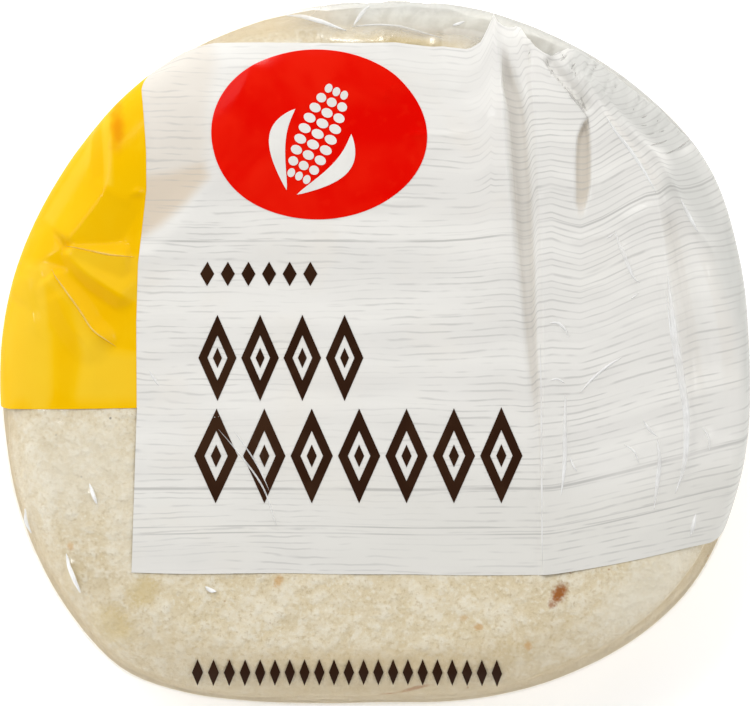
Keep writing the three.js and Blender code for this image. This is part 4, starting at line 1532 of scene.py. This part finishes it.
# Painted shadows: thin dark strips where the gathered film laps over itself and in the valleys of its
# puckers: as the pinches, and a little higher.
LAP_RISE = 0.1
LAPS = (
    (((35.9, 61.8), (37.6, 59.2), (39.1, 57.3), (40.2, 55.8), (41.1, 54.3), (42.8, 52.4), (44.5, 50),
      (45.1, 47.5)), 0.45),
    (((43.2, 54.5), (43.8, 53), (44.5, 51.3)), 0.4),
    (((38.5, 61.1), (40.2, 62.6)), 0.6),
    (((40.8, 59.8), (42.3, 61.3)), 0.5),
    (((43.8, 58.3), (46, 59.9)), 0.45),
    (((47.2, 56), (48.9, 57.6)), 0.3),
    (((49.2, 54.9), (50.9, 56.2)), 0.45),
    (((51.9, 51.3), (54.1, 51.3), (56.4, 52.4)), 0.35),
    (((54.1, 49.4), (56.2, 49.6), (58.3, 50.9)), 0.35),
    (((55.6, 47.9), (57.7, 48.1), (60, 49.4)), 0.35),
    (((56.6, 46), (59.8, 46.6), (62.6, 47.6)), 0.35),
    (((57.7, 43.8), (60.9, 44.7), (63.5, 46.6)), 0.35),
    (((60.9, 41.9), (63.5, 43.2), (66, 45)), 0.35),
)


def pinch(points, width):
    """A low roof of film over a path, pointed at both ends: points and faces."""
    path = smooth_path(points if len(points) > 2 else (points[0], np.mean(points, axis=0), points[1]), fine=6)
    along = np.gradient(path, axis=0)
    along /= np.linalg.norm(along, axis=1)[:, None]
    side = np.column_stack([along[:, 1], -along[:, 0]])
    run = np.append(0, np.cumsum(np.linalg.norm(np.diff(path, axis=0), axis=1)))
    taper = np.maximum(np.sin(math.pi * run / run[-1]), 0.03) ** 0.7
    offset = 0.5 * width * taper[:, None] * np.array(PINCH_ACROSS)
    flat = path[:, None, :] + side[:, None, :] * offset[:, :, None]
    solid, faces = slab(flat[:, ::-1], PINCH_FOOT, MARK_HIGH)
    lifts = PINCH_BASE + (PINCH_HEIGHTS * (PINCH_SLOPE * width * taper + MARK_LOW)[:, None]).ravel()
    solid[: len(lifts), 2] = lifts
    return solid, faces


# ---------------------------------------------------------------- settings


def colour_property(name, description, default):
    return bpy.props.FloatVectorProperty(
        name=name, description=description, default=default, subtype="COLOR", size=3, min=0, max=1
    )


class StackSettings(bpy.types.PropertyGroup):
    count: bpy.props.IntProperty(
        name="Tortillas", description="Tortillas in the bag", default=30, min=4, max=60
    )
    pitch: bpy.props.FloatProperty(
        name="Pitch", description="Height that one tortilla takes", default=1.5 * MM, unit="LENGTH"
    )
    stagger: bpy.props.FloatProperty(
        name="Stagger", description="How far a tortilla may lie off the middle",
        default=0.9 * MM, unit="LENGTH"
    )
    twist: bpy.props.FloatProperty(
        name="Twist", description="How far a tortilla may be turned", default=math.radians(3), subtype="ANGLE"
    )
    seed: bpy.props.IntProperty(name="Seed", description="Seed of the random shifts", default=SEED)
    cream: colour_property("Cream", "Main colour of the dough", (0.83, 0.725, 0.525))
    pale: colour_property("Pale", "Colour of its pale patches", (0.89, 0.83, 0.70))
    tan: colour_property("Tan", "Colour of its darker patches", (0.74, 0.62, 0.41))
    # Painted shade of the tortillas' rims.
    rim: colour_property("Rim", "Colour of the tortillas' rims", (0.62, 0.485, 0.285))
    gold: colour_property("Gold", "Colour of golden patches", (0.69, 0.545, 0.27))
    crack: colour_property("Crack", "Colour of its fine cracks and pores", (0.58, 0.45, 0.26))
    toast: colour_property("Toast", "Colour of toasted spots", (0.36, 0.108, 0.003))
    amber: colour_property("Amber", "Colour of lightly toasted spots", (0.66, 0.36, 0.11))
    speck: colour_property("Speck", "Colour of dark specks", (0.09, 0.06, 0.04))


class FilmSettings(bpy.types.PropertyGroup):
    roughness: bpy.props.FloatProperty(name="Roughness", description="Blur of the film's gloss", default=0.16)
    haze: bpy.props.FloatProperty(name="Haze", description="Milkiness of one layer of film", default=0.03)
    gathered_haze: bpy.props.FloatProperty(
        name="Gathered haze", description="Milkiness where the film is gathered in layers", default=0.76
    )
    milk: colour_property("Milk", "Colour of the film's haze", (0.74, 0.735, 0.69))
    gathered_milk: colour_property("Gathered milk", "Colour of the gathered film's haze", (0.80, 0.785, 0.70))
    # Painted shade of the gathered haze.
    gathered_shade: colour_property(
        "Gathered dim", "Colour of it on the right and at the rim", (0.59, 0.585, 0.545)
    )
    mirror: bpy.props.FloatProperty(
        name="Mirror", description="Gloss of the film seen from above", default=0.06
    )
    cells: bpy.props.IntProperty(name="Cells", description="Mesh cells across the front", default=240)


class PrintSettings(bpy.types.PropertyGroup):
    board: colour_property("Board", "Colour of the white boards", (0.825, 0.81, 0.77))
    board_dark: colour_property("Board streak", "Colour of the boards' streaks", (0.755, 0.74, 0.705))
    board_warm: colour_property("Board warm", "Colour where the tortilla shows through", (0.80, 0.76, 0.69))
    # Painted shade of the boards towards their lower right.
    board_low_shade: colour_property(
        "Board low", "Colour of the boards towards their lower right", (0.71, 0.695, 0.65)
    )
    # Painted shade of the boards: on facets turned from the light, and deep in folds.
    board_shade: colour_property("Board shade", "Colour of the boards' facets in shade", (0.60, 0.597, 0.565))
    board_tan_shade: colour_property("Board tan", "Colour of the boards' warm facets", (0.68, 0.58, 0.46))
    board_fold_shade: colour_property("Board in folds", "Colour of the boards deep in a fold", (0.64, 0.585, 0.505))
    grain: colour_property("Grain", "Colour of the grain lines", (0.44, 0.43, 0.41))
    yellow: colour_property("Yellow", "Yellow ink", (0.88, 0.50, 0.001))
    yellow_worn: colour_property("Yellow light", "Lighter clouds of the yellow", (0.895, 0.56, 0.010))
    # Painted light and shade of the yellow's facets.
    yellow_light: colour_property(
        "Yellow bright", "Yellow of facets that catch the light", (0.91, 0.60, 0.040)
    )
    yellow_dark: colour_property("Yellow dark", "Yellow of facets in shade", (0.84, 0.46, 0.0004))
    yellow_deep: colour_property("Yellow deep", "Yellow where it lies double", (0.80, 0.31, 0.0003))
    red: colour_property("Red", "Red ink", (0.755, 0.0025, 0.0004))
    red_worn: colour_property("Red light", "Lighter clouds of the red", (0.81, 0.012, 0.003))
    brown: colour_property("Brown", "Dark brown ink", (0.030, 0.012, 0.006))
    brown_worn: colour_property("Brown light", "Lighter clouds of the brown", (0.045, 0.020, 0.010))
    fineness: bpy.props.FloatProperty(
        name="Fineness", description="Size of the print's mesh cells", default=0.56 * MM, unit="LENGTH"
    )


class StageSettings(bpy.types.PropertyGroup):
    camera_height: bpy.props.FloatProperty(
        name="Camera height", description="Height of the camera over the table", default=3.0, unit="LENGTH"
    )
    framed_width: bpy.props.FloatProperty(
        name="Framed width", description="Width that the picture takes in", default=0.1612, unit="LENGTH"
    )
    floor: colour_property("Floor", "Colour of the floor", (0.95, 0.95, 0.945))
    floor_glow: bpy.props.FloatProperty(
        name="Floor glow", description="Light that the floor gives off", default=0.42
    )
    sky: bpy.props.FloatProperty(name="Sky", description="Strength of the light from all round", default=0.95)
    key: bpy.props.FloatProperty(name="Key light", description="Strength of the key light", default=1.0)
    fill: bpy.props.FloatProperty(name="Fill light", description="Strength of the fill lights", default=1.15)
    spark: bpy.props.FloatProperty(name="Sparks", description="Strength of the small lights", default=0.22)


# ---------------------------------------------------------------- operators


def keep(piece):
    """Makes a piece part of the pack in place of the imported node."""
    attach(piece, BODY)
    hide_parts(BAG_NODE)


class MakeTortillas(bpy.types.Operator):
    """Make the stack of tortillas under the top one"""

    bl_idname = "tortilla_bag.tortillas"
    bl_label = "Tortilla Stack"

    def execute(self, context):
        settings = context.scene.bag_stack
        material = tortilla_material(settings, spots=False)
        pitch = settings.pitch / MM
        layers = settings.count - 1
        source = flat_tortilla(STACK_COLUMNS, pitch, material)
        values = {
            "Count": layers,
            "Pitch": settings.pitch,
            "Stagger": settings.stagger,
            "Twist": settings.twist,
            "Seed": settings.seed,
            "Material": material,
        }
        stack = run_tree(source, stack_tree(), values, "tortilla_stack")
        set_mesh_points(stack, press_into_bag(mesh_points(stack), settings.count, pitch))
        # Painted shade: the whole stack takes the darker rim colour.
        mark(stack, "rim", np.ones(len(stack.data.vertices)))
        keep(stack)
        return {"FINISHED"}


class MakeTopTortilla(bpy.types.Operator):
    """Make the top tortilla, whose baked face shows through the film"""

    bl_idname = "tortilla_bag.top_tortilla"
    bl_label = "Top Tortilla"

    def execute(self, context):
        settings = context.scene.bag_stack
        direction, share, faces, edge = disc_grid(TOP_CELLS)
        points = self.face_points(direction, share)
        rim = direction[edge]
        upper = edge
        start = len(points)
        for inset, down in TOP_EDGE:
            ring = list(range(start, start + len(edge)))
            points = np.concatenate([points, self.rim_points(rim, inset, down)])
            faces += ring_faces(upper, ring)
            upper, start = ring, start + len(edge)
        points = np.concatenate([points, [[0, 0, BAG_HEIGHT - 3]]])
        faces += fan_faces(start, upper)
        top = make_object("top_tortilla", points, faces, tortilla_material(settings, spots=True))
        # Painted shade at the top tortilla's edge and where it bends down out of the light.
        rim_shade = np.ones(len(points))
        below = np.exp(-((turn_between(direction, RIM_SHADED) / RIM_SHADED_SPREAD) ** 2))
        below *= smoothstep(share, 0.83, 0.91)
        rim_shade[: len(share)] = np.maximum(0.5 * smoothstep(share, 0.95, 1.0), below)
        mark(top, "rim", rim_shade)
        keep(top)
        return {"FINISHED"}

    @staticmethod
    def rim_share(direction):
        ragged = 0.004 * soft_noise(np.mod(direction, 360) / 7, direction * 0, 1.0, SEED + 3)
        return table_at(np.mod(direction, 360), TOP_RIM) + ragged

    def face_points(self, direction, share):
        rim = self.rim_share(direction)
        radius = rim * share * reach(direction) - 0.9 * smoothstep(share, 0.9, 1)
        x, y = placed(direction, radius)
        film = film_relief(direction, radius, radius / reach(direction), np.ones(len(x), bool))
        lift = np.minimum(broad_waves(x, y) + top_relief(x, y), film) - under_print(x, y)
        return np.column_stack([x, y, front_height(rim * share) - TOP_GAP + lift]) - MIDDLE

    def rim_points(self, direction, inset, down):
        rim = self.rim_share(direction)
        radius = rim * reach(direction) - inset
        x, y = placed(direction, radius)
        z = front_height(rim) - STACK_GAP + broad_waves(x, y) - down
        return np.column_stack([x, y, z]) - MIDDLE


# The film's front is a grid out to this share of the reach, and rings from there on.
FILM_GRID_SHARE = 0.93
SIDE_RINGS = 34
BACK_RINGS = 8
# Where the film is gathered in layers: degrees from the pleats' middle, share of the reach it starts
# at, and the steps over which it thickens. Its haze is painted darker, as shade, below these directions
# and past these shares of the reach.
LAYERS_SPREAD = (24, 46)
LAYERS_FROM = 0.865
LAYERS_EASE = 10
DIM_DIRECTIONS = (54, 76)
DIM_SHARES = (0.93, 0.985)


class MakeFilm(bpy.types.Operator):
    """Make the clear film round the stack, with its folds, pleats and gathers"""

    bl_idname = "tortilla_bag.film"
    bl_label = "Clear Film"

    def execute(self, context):
        settings = context.scene.bag_film
        direction, share, faces, edge = disc_grid(settings.cells)
        step = section.step_at_share(FILM_GRID_SHARE * share)
        last_step = section.step_at_share(FILM_GRID_SHARE)
        rim = direction[edge]
        side = np.linspace(last_step, section.step[-1] - section.FLAT_STEPS + 1, SIDE_RINGS + 1)[1:]
        back = section.step[-1] - (section.FLAT_STEPS - 1) * np.linspace(1, 0, BACK_RINGS + 2)[1:-1]
        upper, start = edge, len(direction)
        for ring_step in [*side, *back]:
            ring = list(range(start, start + len(edge)))
            direction = np.concatenate([direction, rim])
            step = np.concatenate([step, np.full(len(edge), ring_step)])
            faces += ring_faces(upper, ring)
            upper, start = ring, start + len(edge)
        travel = section.travel_at_step(direction, step)
        x, y = placed(direction, travel)
        points = film_points(direction, step=step, lift=-under_print(x, y))
        middle = np.array([[0.0, 0.0, points[upper, 2].mean()]]) - MIDDLE
        points = np.concatenate([points, middle])
        faces += fan_faces(start, upper)
        film = make_object("clear_film", points, faces, film_material(settings))
        self.mark_layers(film, np.append(direction, 0.0), np.append(step, section.step[-1]))
        keep(film)
        return {"FINISHED"}

    @staticmethod
    def mark_layers(film, direction, step):
        """Marks how many layers of film lie over each other, from 0 to 1, and where their haze takes painted
        shade.
        """
        near = 1 - smoothstep(np.abs(turn_between(direction, PLEAT_DIRECTION)), *LAYERS_SPREAD)
        (share,) = section.read(step, "share")
        start = section.step_at_share(LAYERS_FROM)
        past = smoothstep(step, start, start + LAYERS_EASE)
        side = smoothstep(step, section.widest - 2, section.widest + 10)
        back = np.where(step > section.widest, smoothstep(share, 0.3, 0.9), 1)
        mark(film, "layers", near * past * (1 - 0.45 * side) * back)
        right = 1 - smoothstep(direction, *DIM_DIRECTIONS)
        mark(film, "painted_haze_shade", np.maximum(right, smoothstep(share, *DIM_SHARES)))


class MakePaintedCreaseLines(bpy.types.Operator):
    """Make the sharp pinches of the film, painted as thin bright highlight lines, and its laps, painted as
    thin shadow lines
    """

    bl_idname = "tortilla_bag.pinches"
    bl_label = "Painted Crease Lines"

    def execute(self, context):
        for name, items, material in (
            ("film_painted_highlights", HIGHLIGHT_PINCHES, painted_highlight_material()), ("film_painted_lap_shadows", LAPS, painted_lap_shadow_material()),
        ):
            points, faces = join([pinch(*item) for item in items])
            direction = direction_of(points[:, 0], points[:, 1])
            travel = np.hypot(points[:, 0], points[:, 1])
            places = film_points(direction, travel=travel, lift=points[:, 2] + LAP_RISE * (items is LAPS))
            piece = make_object(name, places, faces, material)
            left = points[:, 0] < PANEL_LEFT
            bare = (left & (points[:, 1] < YELLOW_BOTTOM)) | (points[:, 1] < PANEL_BOTTOM)
            mark(piece, "over_yellow", left & (points[:, 1] > YELLOW_BOTTOM))
            mark(piece, "over_bare", bare)
            keep(piece)
        return {"FINISHED"}


class MakeBoards(bpy.types.Operator):
    """Make the white printed panel with its board pattern"""

    bl_idname = "tortilla_bag.boards"
    bl_label = "White Boards Print"

    def execute(self, context):
        settings = context.scene.bag_print
        columns, low, high = white_field()
        fine = settings.fineness / MM
        rows = ((PANEL_BOTTOM, 2 * fine), (UPPER_SEAM - 4, fine), (PANEL_TOP, 0))
        points, faces = slab(sheet_rows(columns, low, high, rows), PRINT_LOW, PRINT_HIGH)
        panel = print_piece("white_boards_print", points, faces, wood_ink(settings), WHITE_TONES)
        keep(panel)
        return {"FINISHED"}


class MakeYellow(bpy.types.Operator):
    """Make the yellow printed field"""

    bl_idname = "tortilla_bag.yellow"
    bl_label = "Yellow Print"

    def execute(self, context):
        settings = context.scene.bag_print
        columns, low, high = yellow_field()
        rows = ((YELLOW_BOTTOM, settings.fineness / MM), (PANEL_TOP, 0))
        points, faces = slab(sheet_rows(columns, low, high, rows), PRINT_LOW, PRINT_HIGH)
        ink = yellow_ink(settings)
        keep(print_piece("yellow_print", points, faces, ink, YELLOW_TONES))
        return {"FINISHED"}


def disc_patch(middle, radii, cells, lean=0.0):
    """A grid of flat places over an ellipse."""
    a, b = np.meshgrid(np.linspace(-1, 1, cells + 1), np.linspace(-1, 1, cells + 1))
    x, y = a * np.sqrt(1 - b**2 / 2), b * np.sqrt(1 - a**2 / 2)
    cos, sin = placed(lean, 1)
    x, y = x * radii[0], y * radii[1]
    return np.stack([middle[0] + x * cos - y * sin, middle[1] + x * sin + y * cos], axis=-1)


def corner_patch(corners, cells_across, cells_along):
    """A grid of flat places between four corners, given anticlockwise."""
    a, b, c, d = (np.array(corner, float) for corner in corners)
    s = np.linspace(0, 1, cells_across + 1)[None, :, None]
    t = np.linspace(0, 1, cells_along + 1)[:, None, None]
    return (1 - t) * ((1 - s) * a + s * b) + t * ((1 - s) * d + s * c)


RED_MIDDLE = (-12.5, 46.6)
RED_RADII = (23.4, 18.0)
RED_CELLS = 56
# The ear of corn on it: lean in degrees, rows of kernels, their step and first place, and half its width.
EAR_LEAN = -24.0
EAR_ROWS = 9
EAR_STEP = 2.45
EAR_FOOT = -9.6
EAR_HALF = 4.6


class MakeRedField(bpy.types.Operator):
    """Make the red oval with its plain white ear of corn"""

    bl_idname = "tortilla_bag.red_field"
    bl_label = "Red Oval Print"

    def execute(self, context):
        settings = context.scene.bag_print
        points, faces = slab(disc_patch(RED_MIDDLE, RED_RADII, RED_CELLS), MARK_LOW, MARK_HIGH)
        ink = plain_ink("Print_red", settings.red, settings.red_worn)
        keep(print_piece("red_oval_print", points, faces, ink))
        points, faces = join(self.ear_of_corn())
        white = plain_ink("Print_white_plain", settings.board, settings.board_dark)
        keep(print_piece("corn_ear_print", points, faces, white))
        return {"FINISHED"}

    @staticmethod
    def ear_of_corn():
        """Rows of kernels in a tapered ear, with a leaf on each side."""
        low, high = MARK_HIGH + 0.03, MARK_HIGH + 0.09
        lean = math.radians(EAR_LEAN)
        turned = np.array([[math.cos(lean), -math.sin(lean)], [math.sin(lean), math.cos(lean)]])
        parts = []
        for row in range(EAR_ROWS):
            height = EAR_FOOT + EAR_STEP * row
            half = EAR_HALF * math.sqrt(max(0.05, 1 - ((height - 0.2) / 12.2) ** 2))
            for column in (-1, 0, 1):
                spot = turned @ (column * 0.66 * half, height) + RED_MIDDLE
                kernel = disc_patch(spot, (0.29 * half, 0.98), 6, EAR_LEAN)
                parts.append(slab(kernel, low, high))
        for side in (-1, 1):
            along = np.linspace(0, 1, 25)
            spine = np.column_stack([side * (1.2 + 6.6 * np.sin(2.2 * along)), -13.4 + 16.5 * along])
            width = 1.9 * np.sin(math.pi * along) ** 0.8
            inner = spine - np.column_stack([width * side, 0 * width])
            outer = spine + np.column_stack([width * side, 0 * width])
            edges = (inner, outer) if side > 0 else (outer, inner)
            leaf = np.stack([edges[0] + (edges[1] - edges[0]) * s for s in np.linspace(0, 1, 5)], axis=1)
            parts.append(slab(leaf @ turned.T + np.array(RED_MIDDLE), low, high))
        return parts


class MakeMotifs(bpy.types.Operator):
    """Make the rows of dark brown diamonds"""

    bl_idname = "tortilla_bag.motifs"
    bl_label = "Diamond Rows Print"

    # Middle of the row, number of diamonds, step, and a diamond's width, height and border.
    ROWS = {
        "small_diamonds_print": ((-25.0, 17.0), 6, 4.4, 3.0, 5.2, 0.0),
        "upper_diamonds_print": ((-20.2, -0.9), 4, 9.0, 8.0, 18.4, 1.9),
        "lower_diamonds_print": ((-3.6, -21.8), 7, 10.1, 9.0, 20.2, 2.1),
        "bottom_diamonds_print": ((-5.8, -68.0), 21, 3.15, 2.2, 5.6, 0.0),
    }

    def execute(self, context):
        settings = context.scene.bag_print
        ink = plain_ink("Print_brown", settings.brown, settings.brown_worn)
        tree = row_tree()
        for name, (middle, count, step, wide, tall, border) in self.ROWS.items():
            points, faces = join(self.diamond(wide, tall, border))
            motif = make_object("motif", points, faces, ink)
            start = -step * MM * (count - 1) / 2
            values = {"Count": count, "Step": step * MM, "Start": start, "Material": ink}
            row = run_tree(motif, tree, values, name)
            on_film = middle[1] < PANEL_BOTTOM
            flat = mesh_points(row) + np.array([*middle, (PRINT_LOW - MARK_LOW) * on_film])
            set_mesh_points(row, lay_print(flat))
            keep(row)
        return {"FINISHED"}

    @staticmethod
    def diamond(wide, tall, border):
        """A solid diamond, or one with a ring of board between its border and its core."""
        corners = np.array([(0, -tall), (wide, 0), (0, tall), (-wide, 0)]) / 2
        fine = max(4, int(tall))
        if border == 0:
            return [slab(corner_patch(corners, fine, fine), MARK_LOW, MARK_HIGH)]
        inner = 1 - 2 * border / wide
        share = np.arange(4 * fine) / fine
        side, part = share.astype(int), (share % 1)[:, None]
        loop = corners[side] * (1 - part) + corners[(side + 1) % 4] * part
        ring = np.stack([loop * scale for scale in np.linspace(1, inner, 4)])
        core = corners * inner * 0.45
        return [
            slab(ring, MARK_LOW, MARK_HIGH, closed=True),
            slab(corner_patch(core, fine // 2, fine // 2), MARK_LOW, MARK_HIGH),
        ]


FLOOR_HALF = 4000.0


class MakeStage(bpy.types.Operator):
    """Make the floor, the lights and the camera that looks down on the pack"""

    bl_idname = "tortilla_bag.stage"
    bl_label = "Stage"

    def execute(self, context):
        settings = context.scene.bag_stage
        self.make_floor(settings)
        scene = context.scene
        self.make_sky(scene, settings)
        self.make_lights(settings)
        self.make_camera(scene, settings)
        scene.view_settings.view_transform = "Standard"
        return {"FINISHED"}

    @staticmethod
    def make_floor(settings):
        side = FLOOR_HALF
        corners = [(-side, -side, 0), (side, -side, 0), (side, side, 0), (-side, side, 0)]
        material = floor_material(settings.floor, settings.floor_glow)
        floor = make_object("floor", corners, [(0, 1, 2, 3)], material)

    @staticmethod
    def make_sky(scene, settings):
        world = bpy.data.worlds.new("Studio")
        world.use_nodes = True
        tree = world.node_tree
        way = result(tree, "ShaderNodeTexCoord", output="Generated")
        height = result(tree, "ShaderNodeSeparateXYZ", {0: way}, 2)
        limits = {"Value": height, "From Min": 0.9, "From Max": 0.45, "To Min": 0.02, "To Max": 1.0}
        open_sky = result(tree, "ShaderNodeMapRange", limits, "Result", interpolation_type="SMOOTHSTEP")
        strength = result(tree, "ShaderNodeMath", {0: open_sky, 1: settings.sky}, operation="MULTIPLY")
        background = tree.nodes["Background"]
        background.inputs["Color"].default_value = (1.0, 1.0, 1.0, 1.0)
        tree.links.new(strength, background.inputs["Strength"])
        scene.world = world

    @staticmethod
    def make_lights(settings):
        # Direction from the middle of the pack, height over the table, softness and strength.
        lights = (
            ("key_light", 140, 50, 36, settings.key),
            ("fill_light", 20, 46, 36, 0.28 * settings.fill),
            ("back_light", 80, 46, 36, 0.37 * settings.fill),
            ("left_spark", 165, 52, 7, settings.spark),
            ("right_spark", 15, 48, 7, settings.spark),
            ("back_spark", 95, 54, 7, settings.spark),
        )
        for name, direction, height, softness, strength in lights:
            data = bpy.data.lights.new(name, "SUN")
            data.angle = math.radians(softness)
            data.energy = strength
            lamp = link(name, data)
            lamp.rotation_euler = (0, math.radians(90 - height), math.radians(direction))
            lamp.location = (0, 0, 1)

    @staticmethod
    def make_camera(scene, settings):
        data = bpy.data.cameras.new("camera")
        data.sensor_width = 36.0
        data.sensor_fit = "HORIZONTAL"
        far = settings.camera_height - WIDEST_HEIGHT * MM
        data.lens = data.sensor_width * far / settings.framed_width
        data.clip_start, data.clip_end = 0.05, 20
        scene.camera = link("camera", data)
        scene.camera.location = (0, 0, settings.camera_height)


STEPS = (
    MakeStage, MakeTortillas, MakeTopTortilla, MakeFilm, MakePaintedCreaseLines, MakeBoards, MakeYellow, MakeRedField,
    MakeMotifs,
)


class TortillaBagPanel(bpy.types.Panel):
    """Settings and steps of the tortilla bag"""

    bl_idname = "VIEW3D_PT_tortilla_bag"
    bl_label = "Tortilla Bag"
    bl_space_type = "VIEW_3D"
    bl_region_type = "UI"
    bl_category = "Tortilla Bag"

    def draw(self, context):
        for name in SETTINGS:
            box = self.layout.box()
            group = getattr(context.scene, name)
            for key in group.__annotations__:
                box.prop(group, key)
        for step in STEPS:
            self.layout.operator(step.bl_idname)


SETTINGS = {
    "bag_stack": StackSettings,
    "bag_film": FilmSettings,
    "bag_print": PrintSettings,
    "bag_stage": StageSettings,
}


def register():
    for group in SETTINGS.values():
        bpy.utils.register_class(group)
    for name, group in SETTINGS.items():
        setattr(bpy.types.Scene, name, bpy.props.PointerProperty(type=group))
    for step in STEPS:
        bpy.utils.register_class(step)
    bpy.utils.register_class(TortillaBagPanel)


def unregister():
    bpy.utils.unregister_class(TortillaBagPanel)
    for step in reversed(STEPS):
        bpy.utils.unregister_class(step)
    for name, group in SETTINGS.items():
        delattr(bpy.types.Scene, name)
        bpy.utils.unregister_class(group)


def main():
    register()
    for step in STEPS:
        area, name = step.bl_idname.split(".")
        getattr(getattr(bpy.ops, area), name)()


if __name__ == "__main__":
    main()
